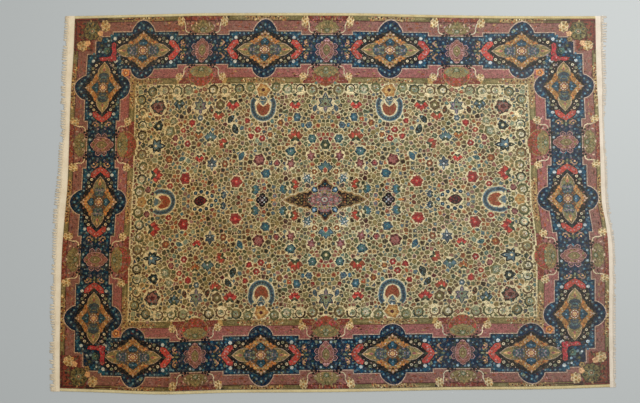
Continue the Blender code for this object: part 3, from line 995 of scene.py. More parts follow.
def centre_medallion():
    outline, body = four_fold(CENTRE), four_fold(CENTRE_BODY)
    for by, yarn in ((1.7, "cream"), (1.3, "tan"), (0.3, "brown"), (0.0, "ink")):
        paint(grown(outline, by), yarn, 0.03)
    mottled(outline, 330, 1.15, "umber brown olive ink brown maroon umber tan", centre_pen)
    mottled(four_fold(CENTRE_TIP), 40, 0.9, "deep_teal slate ink lake", centre_pen)
    rimmed(paint, body, 0.5, "maroon", "lilac", (0.03, 0.03))
    mottled(body, 190, 0.95, "mauve lilac rose pink slate tan mauve sage maroon", centre_pen)
    for x, y, size, dyes in CENTRE_FLOWERS:
        flower(pen_at(x, y, 0, SWAY), size, *dyes.split(), 5, 0.2)
    for radius, yarn in ((3.9, "rose"), (3.2, "slate"), (2.4, "faded"), (1.2, "rose"), (0.5, "ink")):
        paint(lobed(radius, 8, 0.2, 0.2, 0.8, 2), yarn, 0.03)
    for x in (40.2, 57.4):
        paint(moved(leaf(4.6, 1.5), x, 0, math.pi / 2), "amber")
    for x in range(0, math.ceil(CENTRE[-1][0]), CENTRE_STEP):
        for y in range(0, math.ceil(CENTRE[0][1]), CENTRE_STEP):
            if inside(x + 0.1, y + 0.1, outline):
                taken.append((x, y, CENTRE_ROOM))


print("the central medallion is", 2 * CENTRE[-1][0], "by", 2 * CENTRE[0][1], "cm")

# %% [markdown]
# Along the field's edge runs a row of curled leaves like thick hoops, dark green or brown, with a pale
# blossom inside each. They alternate left and right hand, as on a climbing vine.

# %% The field's edge of curled leaves
CURLS = [  # x, y and hand, along the long side and then along the short one
    (9.5, 81.2, 1), (18.6, 82.0, -1), (28.2, 82.0, 1), (37.2, 83.2, -1), (56.6, 83.2, 1),
    (65.2, 82.0, -1), (76.1, 81.1, 1), (85.3, 81.6, -1), (104.6, 81.6, 1), (113.4, 81.0, -1),
    (123.0, 81.6, 1), (132.6, 80.6, -1), (141.0, 74.6, 1), (139.8, 65.4, -1), (139.6, 56.0, 1),
    (139.8, 48.6, -1), (139.6, 34.6, 1), (138.6, 25.6, -1), (139.2, 16.6, 1), (140.6, 7.6, -1),
]
DOME_X, DOME_Y, DOME_ROOM = 147.6, 87.6, 4.6  # where the rosettes' hanging domes take room in the field
CURL_DYES = (("moss", "olive"), ("umber", "khaki"), ("bottle", "sage"), ("brown", "olive"))


def curl(x, y, hand):
    """A dark hoop, open on one side, with leaflets along it and a pale, mottled blossom inside."""
    size, start = draw_rng.uniform(4.1, 4.8), draw_rng.uniform(-50, 50) + (0 if hand > 0 else 180)
    dark, light = draw_rng.choice(CURL_DYES)
    pen = pen_at(x, y)
    pen(lobed(size * 0.9, 7, 0.1, start), draw_rng.choice(("straw", "khaki", "sage")), 0.1)
    pen(band(arc(size * 0.8, start, start + hand * 260, 10, 0.8), size * 0.34, 0.4), dark)
    for i in range(6):
        angle = math.radians(start + hand * (10 + 44 * i))
        leaflet = moved(leaf(size * 0.36, size * 0.26, 0, 3), 0, size * 0.74)
        pen(turned(leaflet, angle - math.pi / 2 + 0.3 * hand), dark if i % 2 else light, 0.14)
    blossom = moved(lobed(size * 0.5, 6, 0.2, start, per_lobe=2), 0.3, -0.3)
    pen(blossom, draw_rng.choice(("sage", "cream", "sage")))
    for i in range(9):
        dab = turned(moved(touch(0.4, 0.75), 0, size * draw_rng.uniform(0.1, 0.55)), i * 2.4)
        pen(dab, draw_rng.choice((light, "ivory", "straw", "sage", dark, "faded", "gold")), 0.14)
    pen(lobed(size * 0.12, 5, 0.2, start), draw_rng.choice(("brick", "umber", "moss")))
    taken.append((x, y, size * 0.94))


first_flower = len(cartoon)
for curl_row in CURLS:
    curl(*curl_row)
centre_medallion()
big_flowers()
taken += [(middle, DOME_Y, DOME_ROOM) for middle in LONG_ROSETTES]
taken += [(DOME_X, middle, DOME_ROOM) for middle in SHORT_ROSETTES]
print(len(cartoon), "shapes after the big flowers;", len(taken), "circles taken")

# %% [markdown]
# What's left is packed with small flowers. Their seeds are scattered a set distance apart: first a few for
# the largest flowers, then more and more for smaller ones. The coarse grid serves again, for the seeds and
# for the circles that the big flowers have taken.

# %% Seeds of the small flowers
FILL_SIZES = ((3.2, 0.012), (2.7, 0.08), (2.25, 0.4), (1.85, 1.0))  # distance, share of the places tried
TRY_PITCH, JITTER = 0.42, 0.2  # between the places tried, and how far each may stray
CLEARANCE = 0.38  # a seed's distance from a taken circle, as a share of its distance from other seeds
FAR_ENOUGH = 4  # past this distance from a circle, no seed is near it

taken_cells = {}
for circle in taken:
    reach = circle[2] + FAR_ENOUGH
    (west, south), (east, north) = (cell_of(circle[0] + d * reach, circle[1] + d * reach) for d in (-1, 1))
    for i in range(west, east + 1):
        for j in range(south, north + 1):
            taken_cells.setdefault((i, j), []).append(circle)


def taken_near(x, y):
    return taken_cells.get(cell_of(x, y), [])


def scatter_seeds(distance, limit_x, limit_y, share, rng, cells):
    """Try a share of a fine grid's points as seeds, and keep each that is far enough from the rest."""
    across, up = int(limit_x / TRY_PITCH) + 1, int(limit_y / TRY_PITCH) + 1
    spots = [(x * TRY_PITCH, y * TRY_PITCH) for x in range(across) for y in range(up)]
    rng.shuffle(spots)
    kept = []
    for x, y in spots[: int(len(spots) * share)]:
        x += rng.uniform(-JITTER, JITTER) if x else 0
        y += rng.uniform(-JITTER, JITTER) if y else 0
        if 0 < x < distance / 2 or 0 < y < distance / 2:
            continue
        room = distance * CLEARANCE
        if any(math.hypot(x - cx, y - cy) < radius + room for cx, cy, radius in taken_near(x, y)):
            continue
        if all(math.hypot(x - s[0], y - s[1]) > 0.5 * (distance + s[2]) for s in nearby(cells, x, y)):
            kept.append((x, y, distance))
            cells.setdefault(cell_of(x, y), []).append(kept[-1])
    return kept


print(len(taken_cells), "cells of the coarse grid lie near a taken circle")

# %% [markdown]
# Each small flower grows until it almost meets its neighbours, so its outline has five to seven straight
# sides. That leaves the net of thin light ground lines that shows between the flowers on the carpet. The
# flower is a leaf-coloured patch, a star whose points reach into its corners, a touch of another yarn and a
# dark heart. Most are olive, khaki, brown or moss, and only some rust, red or teal.

# %% The dense fill of small flowers
GAP, SHORTEST = 0.38, 0.3  # the ground line between two flowers, and the shortest side of one
LEAF_YARNS = by_weight({"khaki": 3, "olive": 3, "tan": 3, "sage": 1, "brown": 1, "mauve": 1})
STAR_YARNS = by_weight({
    "umber": 6, "brown": 14, "moss": 11, "bottle": 6, "olive": 14, "khaki": 9, "rust": 8, "maroon": 3,
    "crimson": 1, "mauve": 8, "slate": 6, "lake": 1, "grey_blue": 5, "sea": 3, "deep_teal": 2, "sage": 5,
    "brick": 3,
})
HEART_YARNS = "umber maroon straw tan sage umber bottle faded brown khaki".split()


def trimmed(polygon, nx, ny, limit):
    """The part of an outline on the near side of a straight line."""
    out = []
    for (ax, ay), (bx, by) in zip(polygon, polygon[1:] + polygon[:1]):
        a, b = ax * nx + ay * ny - limit, bx * nx + by * ny - limit
        if a <= 0:
            out.append((ax, ay))
        if a * b < 0:
            t = a / (a - b)
            out.append((ax + (bx - ax) * t, ay + (by - ay) * t))
    return out


def cell_outline(seed, near, gap):
    """A small flower's room: an outline about its own middle, cut off halfway to each neighbour."""
    x, y, distance = seed
    outline = arc(distance * 0.98, 0, 360, 8)[:-1]
    for nx, ny, other in near:
        dx, dy = nx - x, ny - y
        far = math.hypot(dx, dy)
        room = far * distance / (distance + other) - gap / 2 if other > 0 else far + other - gap
        outline = trimmed(outline, dx / far, dy / far, max(room, SHORTEST))
    merged = [p for p, q in zip(outline, outline[1:] + outline[:1]) if math.dist(p, q) > SHORTEST]
    return merged if len(merged) > 2 else outline


def star_in(outline, corner, side):
    """A star whose points reach into an outline's corners."""
    points = []
    for (ax, ay), (bx, by) in zip(outline, outline[1:] + outline[:1]):
        points.append((ax * corner, ay * corner))
        points.append(((ax + bx) / 2 * side, (ay + by) / 2 * side))
    return points


def small_flower(seed, outline, rng):
    x, y, distance = seed
    pen = pen_at(x, y)
    pen(outline, rng.choice(LEAF_YARNS), 0.14)
    pen(star_in(outline, rng.uniform(0.8, 0.96), rng.uniform(0.38, 0.72)), rng.choice(STAR_YARNS), 0.16)
    angle = rng.uniform(0, 6.3)
    heart = lobed(distance * rng.uniform(0.11, 0.18), 4, 0, 0, 0.7)
    pen(turned(moved(heart, distance * 0.14, 0), angle), rng.choice(HEART_YARNS), 0.16)


def fill_field():
    rng = random.Random(SEED + 1)
    limit_x, limit_y = FIELD_X - 0.5, FIELD_Y - 0.5
    cells, seeds = {}, []
    for distance, share in FILL_SIZES:
        seeds += scatter_seeds(distance, limit_x, limit_y, share, rng, cells)
    all_cells = {}  # the seeds, with their mirror images past the quarter's sides
    for x, y, distance in seeds:
        for image in sorted({(x, y), (-x, y), (x, -y), (2 * limit_x - x, y), (x, 2 * limit_y - y)}):
            all_cells.setdefault(cell_of(*image), []).append((*image, distance))
    for seed in seeds:
        near = [s for s in nearby(all_cells, seed[0], seed[1]) if s != seed]
        near += [(x, y, -radius) for x, y, radius in taken_near(seed[0], seed[1])]
        outline = cell_outline(seed, near, GAP * rng.uniform(0.7, 1.3))
        if len(outline) > 2:
            small_flower(seed, outline, rng)
    return len(seeds)


first_small = len(cartoon)
print(fill_field(), "small flowers;", len(cartoon), "shapes in all")
cartoon[first_flower:] = cartoon[first_small:] + cartoon[first_flower:first_small]  # the big ones lie on top

# %% [markdown]
# Many touches lie wholly under later shapes. They would only cost triangles, so they're found on a fine grid
# of squares, from the top shape down, and left out.

# %% Leave out what nobody sees
def uncovered(shapes, pitch=0.25):
    """The shapes that aren't wholly covered by later ones, nor wholly outside the quarter."""
    size = np.array([int(HALF_LENGTH / pitch), int(HALF_WIDTH / pitch)])
    covered, kept = np.zeros(size, bool), []
    for outline, colour in reversed(shapes):
        corners = np.array(outline) / pitch
        low = np.clip(np.floor(corners.min(axis=0)).astype(int), 0, size)
        high = np.clip(np.ceil(corners.max(axis=0)).astype(int), 0, size)
        window = covered[low[0] : high[0], low[1] : high[1]]
        x, y = np.meshgrid(np.arange(low[0], high[0]) + 0.5, np.arange(low[1], high[1]) + 0.5, indexing="ij")
        hit = np.zeros(x.shape, bool)
        for (ax, ay), (bx, by) in zip(corners, np.roll(corners, -1, axis=0)):
            if ay != by:
                hit ^= ((ay > y) != (by > y)) & (x < (bx - ax) * (y - ay) / (by - ay) + ax)
        if (hit & ~window).any():
            kept.append((outline, colour))
            window |= hit
    return kept[::-1]


shape_count = len(cartoon)
cartoon = uncovered(cartoon)
print(len(cartoon), "of", shape_count, "shapes are seen")

# %% [markdown]
# Now the drawing becomes a mesh. Blender's constrained Delaunay triangulation cuts the quarter into triangles
# along every outline, and says which shapes each triangle lies in. The last painted of them gives its
# colour. Three extra sets of lines go in: the cuts between strips of pile, the cut of the unwrapping, and
# two lines near the edge where the pile rounds over. A coarse grid of points lets the surface wave.

# %% Cut the quarter into triangles
STRIP_CUTS = (0.0, 45.0, 90.0, HALF_WIDTH)
UV_CUT = 65.0
ROUNDING = (0.0, 0.12, 0.3)
WAVE_PITCH = (5.9, 5.8)
INSIDE_ONLY, MERGE_WITHIN = 1, 1e-5  # what the triangulation returns, and when two points are one


def cut_lines():
    """The extra lines, each from one point to another."""
    lines = [((0, y), (HALF_LENGTH, y)) for y in STRIP_CUTS[1:-1]]
    lines.append(((UV_CUT, 0), (UV_CUT, HALF_WIDTH)))
    for inset in ROUNDING[1:]:
        corner = (HALF_LENGTH - inset, HALF_WIDTH - inset)
        lines += [((corner[0], 0), corner), ((0, corner[1]), corner)]
    return lines


def cut_quarter():
    verts, edges, faces = [], [], []
    for points in [rectangle(0, 0, HALF_LENGTH, HALF_WIDTH)] + [points for points, _ in cartoon]:
        faces.append(list(range(len(verts), len(verts) + len(points))))
        verts += [Vector(p) for p in points]
    for ends in cut_lines():
        edges.append((len(verts), len(verts) + 1))
        verts += [Vector(p) for p in ends]
    across, up = int(HALF_LENGTH / WAVE_PITCH[0]), int(HALF_WIDTH / WAVE_PITCH[1])
    verts += [Vector((i * WAVE_PITCH[0], j * WAVE_PITCH[1])) for i in range(1, across) for j in range(1, up)]
    result = delaunay_2d_cdt(verts, edges, faces, INSIDE_ONLY, MERGE_WITHIN, True)
    out_verts, out_faces, out_from = result[0], result[2], result[5]
    keep = [(f, max(o)) for f, o in zip(out_faces, out_from) if 0 in o and len(f) == 3]
    points = np.array([tuple(v) for v in out_verts])
    triangles = np.array([f for f, _ in keep])
    colours = np.array([(0.5, 0.5, 0.5)] + [colour for _, colour in cartoon])[[top for _, top in keep]]
    return points, triangles, colours


quarter_points, quarter_triangles, quarter_colours = cut_quarter()
print(len(quarter_points), "points and", len(quarter_triangles), "triangles in a quarter")

# %% [markdown]
# The quarter is turned over for the other three, strip by strip, and laid over the real outline, which comes
# from the frame's own flat pile. Each edge of the carpet bulges and kinks a little. The middle of the pattern
# lies off centre, and the weaving strayed from the cartoon by a centimetre or two, as hand weaving does. Very
# low waves keep the surface from looking machined.

# %% Lay the drawing over the real outline
EDGE_SIDES = ((0, -1, 1.92), (0, 1, 1.92), (1, -1, 1.3), (1, 1, 1.3))  # axis, sign, from how far out
CORNER_CUT = (1.31, 1.93)  # where a west or east edge and a north or south edge stop, short of the corners
MIDDLE_SHIFT = 0.060  # the pattern's middle lies this far west of the pile's
STRAY_FADE, WAVE_FADE = 5, 12  # within so many centimetres of the edge, straying and waves die away


def edge_table(points, axis, sign, near):
    """One edge of the pile's solid, as places along it and how far out it lies there."""
    along = 1 - axis
    rows = points[(points[:, axis] * sign > near) & (np.abs(points[:, along]) < CORNER_CUT[axis])]
    rows = rows[np.argsort(rows[:, along])]
    rows = np.vstack([rows[0] * 2 - rows[1], rows, rows[-1] * 2 - rows[-2]])
    return rows[:, along], rows[:, axis]


def solid_points(node_name):
    return np.array([v.co[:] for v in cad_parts[node_name].data.vertices])


pile_points = solid_points("pile")
pile_points = np.unique(np.round(pile_points[pile_points[:, 2] < 0.001][:, :2], 5), axis=0)
WEST, EAST, SOUTH, NORTH = (edge_table(pile_points, *side) for side in EDGE_SIDES)


def edge(table, at):
    return np.interp(at, table[0], table[1])


def edge_inset(x, y):
    return np.minimum(HALF_LENGTH - np.abs(x), HALF_WIDTH - np.abs(y))


def laid(x, y):
    """Cartoon centimetres to the carpet's own place in metres."""
    u, v = np.clip(x / HALF_LENGTH, -1, 1), np.clip(y / HALF_WIDTH, -1, 1)
    rough_x, rough_y = x * CM, y * CM
    real_x = edge(WEST, rough_y) * (1 - u) / 2 + edge(EAST, rough_y) * (1 + u) / 2
    real_y = edge(SOUTH, rough_x) * (1 - v) / 2 + edge(NORTH, rough_x) * (1 + v) / 2
    real_x = real_x - MIDDLE_SHIFT * (1 - u * u) ** 1.5 * (1 - 0.15 * v * v)
    real_y = real_y - (0.011 - 0.009 * u) * (1 - v * v)
    # how far the weaving strayed from the cartoon, in metres, fitted
    strayed_x = -0.008 - 0.010 * u + 0.013 * u * u
    strayed_y = -0.006 - 0.020 * v * (0.4 + 0.6 * np.cos(math.pi / 2 * u))
    inwards = np.clip(edge_inset(x, y) / STRAY_FADE, 0, 1)
    return real_x + strayed_x * inwards, real_y + strayed_y * inwards


def waves(x, y):
    """The low waves of a carpet that has been walked on, in metres."""
    low = np.sin(2.1 * x + 1.3 * y + 0.4) * np.sin(1.7 * y - 0.8 * x + 1.1)
    mid = np.sin(5.3 * x - 2.2 * y) * np.sin(4.1 * y + 1.9 * x + 0.7)
    ends = np.exp(-((np.abs(x) - 1.9) / 0.12) ** 2) * np.sin(13 * y + 2 * np.sign(x))
    return 0.0007 * low + 0.0004 * mid + 0.0005 * ends


def pile_height(x, y, real_x, real_y):
    radius = ROUNDING[-1] * CM
    inset = np.clip(edge_inset(x, y) * CM, 0, radius)
    rounded = PILE_TOP - radius + np.sqrt(np.maximum(radius**2 - (radius - inset) ** 2, 0))
    return rounded + waves(real_x, real_y) * np.clip(edge_inset(x, y) / WAVE_FADE, 0, 1)


middle_x, middle_y = laid(np.zeros(1), np.zeros(1))
print("the pattern's middle lies at", round(float(middle_x[0]), 3), round(float(middle_y[0]), 3), "m")

# %% [markdown]
# Each strip becomes one mesh that spans the whole length. It carries its yarn colours on its face corners,
# an unwrapping in metres for the weave, and a second unwrapping inside the unit square, in three rows one
# above the other, for anyone who wants to bake the look into a picture.

# %% The strips of pile
UV_ROWS, UV_MARGIN = 3, 0.004


def both_halves(row, y_sign):
    """One strip's flat points and faces, both halves joined along the carpet's middle, and face colours."""
    middle = quarter_points[quarter_triangles].mean(axis=1)
    chosen = (middle[:, 1] > STRIP_CUTS[row]) & (middle[:, 1] < STRIP_CUTS[row + 1])
    used, triangles = np.unique(quarter_triangles[chosen], return_inverse=True)
    triangles = triangles.reshape(-1, 3)
    points = quarter_points[used]
    off_axis = np.abs(points[:, 0]) > 1e-6
    copy_of = np.arange(len(points))
    copy_of[off_axis] = len(points) + np.arange(off_axis.sum())
    flat = np.vstack([points, points[off_axis] * (-1, 1)]) * (1, y_sign)
    faces = np.vstack([triangles, copy_of[triangles]])
    a, b, c = (flat[faces[:, i]] for i in range(3))
    turned_over = ((b - a)[:, 0] * (c - a)[:, 1] - (b - a)[:, 1] * (c - a)[:, 0]) < 0
    faces[turned_over] = faces[turned_over][:, ::-1]
    return flat, faces, np.vstack([quarter_colours[chosen]] * 2)


def added(name, mesh):
    """A new object with this mesh, in the scene."""
    made = bpy.data.objects.new(name, mesh)
    bpy.context.scene.collection.objects.link(made)
    return made


def plain_mesh(name, points, edges=(), faces=()):
    mesh = bpy.data.meshes.new(name)
    mesh.from_pydata(points, edges, faces)
    return mesh


def unwrap(mesh, name, u, v):
    mesh.uv_layers.new(name=name).data.foreach_set("uv", np.column_stack([u, v]).ravel())


def strip_mesh(name, row, y_sign):
    flat, faces, colours = both_halves(row, y_sign)
    real_x, real_y = laid(flat[:, 0], flat[:, 1])
    heights = pile_height(flat[:, 0], flat[:, 1], real_x, real_y)
    mesh = plain_mesh(name, np.column_stack([real_x, real_y, heights]).tolist(), (), faces.tolist())
    mesh.polygons.foreach_set("use_smooth", np.ones(len(faces), dtype=bool))
    colours = np.repeat(np.column_stack([colours, np.ones(len(colours))]), 3, axis=0)
    mesh.attributes.new("yarn", "FLOAT_COLOR", "CORNER").data.foreach_set("color", colours.ravel())
    corner = flat[faces.ravel()]
    unwrap(mesh, "weave", corner[:, 0] * CM, corner[:, 1] * CM)
    along = (corner[:, 0] + HALF_LENGTH) / (2 * UV_CUT)
    third = (flat[faces].mean(axis=1)[:, 0] + HALF_LENGTH) / (2 * UV_CUT)
    third = np.repeat(np.floor(third).astype(int), 3)
    up = (np.abs(corner[:, 1]) - STRIP_CUTS[row]) / (STRIP_CUTS[row + 1] - STRIP_CUTS[row])
    across = UV_MARGIN + (1 - 2 * UV_MARGIN) * (along - third)
    up = UV_ROWS * UV_MARGIN + (1 - 2 * UV_ROWS * UV_MARGIN) * up
    unwrap(mesh, "OFBake", across, (third + up) / UV_ROWS)
    return added(name, mesh)


strips = []
for y_sign, side in ((-1, "south"), (1, "north")):
    for row, word in enumerate(("middle", "field", "border")):
        strips.append(strip_mesh(f"pile_{side}_{word}", row, y_sign))
        print(strips[-1].name, len(strips[-1].data.polygons), "triangles")

# %% [markdown]
# A material is a small tree of nodes. The helpers here add a node in one go: its settings, and for each of
# its sockets either a plain value or the output of another node. The same helper serves the Geometry Nodes
# trees further on.

# %% Helpers for node trees
def add(tree, kind, feeds=(), **settings):
    """A node with its settings, and its sockets fed from a dictionary of values and outputs."""
    made = tree.nodes.new(kind)
    for name, value in settings.items():
        setattr(made, name, value)
    for socket, value in dict(feeds).items():
        if isinstance(value, bpy.types.NodeSocket):
            tree.links.new(value, made.inputs[socket])
        else:
            made.inputs[socket].default_value = value
    return made


def maths(tree, operation, a, b=0.0, clamp=False):
    return add(tree, "ShaderNodeMath", {0: a, 1: b}, operation=operation, use_clamp=clamp).outputs[0]


def noise(tree, vector, scale, detail=2.0, roughness=0.5):
    feeds = {"Vector": vector, "Scale": scale, "Detail": detail, "Roughness": roughness}
    return add(tree, "ShaderNodeTexNoise", feeds).outputs["Fac"]


def scaled(tree, vector, x, y, z):
    return add(tree, "ShaderNodeMapping", {"Vector": vector, "Scale": (x, y, z)}).outputs["Vector"]


def remap(tree, value, low, high, to_low, to_high):
    feeds = dict(enumerate((value, low, high, to_low, to_high)))
    return add(tree, "ShaderNodeMapRange", feeds).outputs[0]


def mixed(tree, factor, a, b, kind="MIX"):
    return add(tree, "ShaderNodeMix", {0: factor, 6: a, 7: b}, data_type="RGBA", blend_type=kind).outputs[2]


def shaded(tree, colour, factor):
    """A colour made lighter or darker by a factor about 1."""
    return add(tree, "ShaderNodeVectorMath", {0: colour, "Scale": factor}, operation="SCALE").outputs[0]


def bumped(tree, shader, height, distance, strength=1.0):
    bump = add(tree, "ShaderNodeBump", {"Strength": strength, "Distance": distance, "Height": height})
    tree.links.new(bump.outputs["Normal"], shader.inputs["Normal"])


def new_material(name, roughness, specular=0.2):
    material = bpy.data.materials.new(name)
    material.use_nodes = True
    shader = material.node_tree.nodes["Principled BSDF"]
    shader.inputs["Roughness"].default_value = roughness
    shader.inputs["Specular IOR Level"].default_value = specular
    return material, material.node_tree, shader


def object_place(tree):
    """The place on the object, and its parts x, y and z."""
    place = tree.nodes.new("ShaderNodeTexCoord").outputs["Object"]
    return place, add(tree, "ShaderNodeSeparateXYZ", {0: place}).outputs


def cell_colours(tree, place, pitch, randomness=1.0):
    """Small cells, each with its own random values, and the distance to each cell's middle."""
    feeds = {"Vector": place, "Scale": 1 / pitch, "Randomness": randomness}
    cells = add(tree, "ShaderNodeTexVoronoi", feeds, voronoi_dimensions="2D")
    split = add(tree, "ShaderNodeSeparateColor", {0: cells.outputs["Color"]})
    return split.outputs, cells.outputs["Distance"]


def screen(red, green, blue):
    """An everyday screen colour for a socket."""
    return linear(red), linear(green), linear(blue), 1.0


def dye(yarn):
    return screen(*YARNS[yarn])


def dressed(made, node_name):
    """Attach a piece to the carpet's body, and hide the solid of the frame that it dresses."""
    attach(made, "root")
    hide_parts(node_name)


print("cream yarn as light:", [round(value, 3) for value in dye("cream")[:3]])

# %% [markdown]
# Wool is matt with a faint sheen. Its colour comes from the yarn painted on each triangle. On top of that
# come the knots, which differ a little from one to the next, specks of other yarns and the dye bands that
# run across the warps. Wear lets the straw-coloured foundation through in spots. The carpet is browner
# towards the west and darker towards the south, and paler towards the east and north: partly real
# yellowing and fading, and partly painted shade and painted light, as the light falls from the north-east.

# %% The pile's wool
KNOT = 0.0021  # metres between knots
SPECK = 0.0068  # metres between the small touches of other yarns
WHITE = (1.0, 1.0, 1.0, 1.0)
# the west and south tints are partly real yellowing of the wool and partly painted shade, away from the light
WEST_TINT_AND_SHADE, SOUTH_TINT_AND_SHADE = (0.86, 0.68, 0.46, 1.0), (0.88, 0.86, 0.84, 1.0)


def knotted_colour(tree, place):
    """The painted yarn, made uneven knot by knot, and the distance to each knot's middle."""
    yarn = add(tree, "ShaderNodeAttribute", attribute_name="yarn").outputs["Color"]
    knot, rows = cell_colours(tree, place, KNOT, 0.45)
    speck, _ = cell_colours(tree, place, SPECK, 0.9)
    knot_shade = remap(tree, knot[0], 0, 1, 0.84, 1.16)
    speck_shade = remap(tree, speck[0], 0, 1, 0.62, 1.38)
    dye_bands = remap(tree, noise(tree, scaled(tree, place, 9, 0.35, 1), 1.0, 3, 0.6), 0.3, 0.7, 0.9, 1.1)
    shade = maths(tree, "MULTIPLY", maths(tree, "MULTIPLY", knot_shade, speck_shade), dye_bands)
    other = mixed(tree, speck[2], dye("umber"), dye("khaki"))
    share = remap(tree, speck[1], 0.7, 0.95, 0.0, 0.45)
    return mixed(tree, share, shaded(tree, yarn, shade), other), rows


def tinted(tree, colour, value, low, high, tint):
    """A colour multiplied by a tint that comes in as a value goes from low to high."""
    tint = mixed(tree, remap(tree, value, low, high, 0.0, 1.0), WHITE, tint)
    return mixed(tree, 1.0, colour, tint, "MULTIPLY")


def pile_material():
    material, tree, shader = new_material("knotted_wool", 0.95, 0.12)
    place = add(tree, "ShaderNodeUVMap", uv_map="weave").outputs["UV"]
    real, where = object_place(tree)
    colour, rows = knotted_colour(tree, place)
    patchy = remap(tree, noise(tree, real, 1.6, 4, 0.6), 0.3, 0.7, -0.5, 0.5)
    from_west, from_south = maths(tree, "ADD", where[0], patchy), maths(tree, "ADD", where[1], patchy)
    # painted shade with real yellowing: browner and darker towards the west, darker towards the south
    colour = tinted(tree, colour, from_west, 0.3, -1.5, WEST_TINT_AND_SHADE)
    colour = tinted(tree, colour, from_south, 0.4, -1.6, SOUTH_TINT_AND_SHADE)
    # paler towards the east and north: partly painted light on the lit side, partly real fading; the spots
    # below are real wear
    faded = remap(tree, from_west, 0.1, 2.0, 0.0, 0.07)
    faded = maths(tree, "ADD", faded, remap(tree, from_south, 0.0, 1.6, 0.0, 0.03))
    spots = remap(tree, noise(tree, real, 30, 4, 0.75), 0.56, 0.8, 0.0, 0.2)
    faded = maths(tree, "ADD", faded, spots, True)
    tree.links.new(mixed(tree, faded, colour, dye("faded")), shader.inputs["Base Color"])
    shader.inputs["Sheen Weight"].default_value = 0.04
    shader.inputs["Sheen Roughness"].default_value = 0.5
    nap = maths(tree, "MULTIPLY", remap(tree, rows, 0.0, 0.6, 1.0, 0.0), 0.5)
    bumped(tree, shader, maths(tree, "ADD", nap, noise(tree, place, 160, 4, 0.65)), 0.0012, 0.7)
    return material


knotted_wool = pile_material()
for strip in strips:
    strip.data.materials.append(knotted_wool)
    dressed(strip, "pile")
print("pile material on", len(strips), "strips")

# %% [markdown]
# Under the pile is its cotton foundation, which is what the sheet really is: one flat cloth, seen from below
# and along the edges. Its outline is set down twice, low and high, and closed with a ring of side faces.

# %% The foundation under the pile
FOUNDATION_TOP = 0.0058
OUTLINE_STEP = 10.0
SET_IN = 0.9999  # a hair inside the pile's own side


def foundation():
    """The pile's outline in short steps, as a thin closed slab."""
    half = [(x, -HALF_WIDTH) for x in np.arange(-HALF_LENGTH, HALF_LENGTH, OUTLINE_STEP)]
    half += [(HALF_LENGTH, y) for y in np.arange(-HALF_WIDTH, HALF_WIDTH, OUTLINE_STEP)]
    flat = np.array(half + [(-x, -y) for x, y in half])
    places = list(zip(*laid(flat[:, 0], flat[:, 1])))
    points = [(x * SET_IN, y * SET_IN, z) for z in (0.0, FOUNDATION_TOP) for x, y in places]
    low = list(range(len(places)))
    high = [i + len(places) for i in low]
    sides = [(low[i - 1], low[i], high[i], high[i - 1]) for i in low]
    return added("foundation", plain_mesh("foundation", points, (), [low[::-1], high] + sides))


base_cloth = foundation()
print("foundation", len(base_cloth.data.polygons), "faces")

# %% [markdown]
# The back of a knotted carpet shows the pattern too, flatter and duller. Its material works the main stripes
# out from the distance to the edge, and dots the field and the navy band with small flowers.

# %% The carpet's back
BACK_STRIPES = ((0.0, 0.49, "gold"), (0.024, 0.43, "mauve"))  # from and to, in metres from the edge
BACK_NAVY = (0.10, 0.365)
BACK_FLOWERS = ("olive", "brown", "crimson", "lake", "rose", "moss", "rust", "grey_blue")


def back_material():
    material, tree, shader = new_material("carpet_back", 0.95, 0.15)
    real, where = object_place(tree)
    from_end = maths(tree, "SUBTRACT", HALF_LENGTH * CM, maths(tree, "ABSOLUTE", where[0]))
    from_side = maths(tree, "SUBTRACT", HALF_WIDTH * CM, maths(tree, "ABSOLUTE", where[1]))
    inset = maths(tree, "MINIMUM", from_end, from_side)

    def stripe(start, end):
        """1 where the distance from the edge is between start and end."""
        past = maths(tree, "GREATER_THAN", inset, start)
        return maths(tree, "MULTIPLY", past, maths(tree, "LESS_THAN", inset, end))

    split, distance = cell_colours(tree, real, 1 / 32)
    dots = add(tree, "ShaderNodeValToRGB", {0: split[0]})
    dots.color_ramp.interpolation = "CONSTANT"
    for i, name in enumerate(BACK_FLOWERS):
        stop = dots.color_ramp.elements[i] if i < 2 else dots.color_ramp.elements.new(i / len(BACK_FLOWERS))
        stop.position = i / len(BACK_FLOWERS)
        stop.color = dye(name)
    colour = mixed(tree, maths(tree, "LESS_THAN", distance, 0.38), dye("straw"), dots.outputs[0])
    for start, end, name in BACK_STRIPES:
        colour = mixed(tree, stripe(start, end), colour, dye(name))
    navy = mixed(tree, maths(tree, "LESS_THAN", distance, 0.22), dye("navy"), dye("sky"))
    colour = mixed(tree, stripe(*BACK_NAVY), colour, navy)
    weave = noise(tree, scaled(tree, real, 900, 60, 1), 1.0, 1)
    ribs = remap(tree, weave, 0.3, 0.7, 0.8, 1.15)
    tree.links.new(shaded(tree, mixed(tree, 0.35, colour, dye("cream")), ribs), shader.inputs["Base Color"])
    bumped(tree, shader, weave, 0.0006)
    return material


base_cloth.data.materials.append(back_material())
dressed(base_cloth, "pile")
print("the back's material is", base_cloth.data.materials[0].name)

# %% [markdown]
# Along each long side the outer warps are bundled and wrapped with straw-coloured yarn, stitch by stitch.
# One stitch is modelled as a short strand bent over the bundle: a tube through a few rings of points. The
# loose warps of the fringe are tubes as well, so one helper makes both.

# %% One stitch, one strand and their cotton
BINDING_WIDTH, BINDING_HEIGHT = 0.025, 0.008
STITCH_PITCH, STITCH_RINGS, STITCH_SIDES = 0.0046, 5, 4
STITCH_SLANT, YARN_RADIUS, STITCH_LIFT = 0.0016, 0.0013, 0.0012  # metres
STRAND_RINGS, STRAND_SIDES = 4, 3


def finished_mesh(name, shape, smooth=False):
    """A bmesh as a plain mesh, its faces outwards."""
    bmesh.ops.recalc_face_normals(shape, faces=shape.faces)
    for face in shape.faces:
        face.smooth = smooth
    mesh = bpy.data.meshes.new(name)
    shape.to_mesh(mesh)
    shape.free()
    return mesh


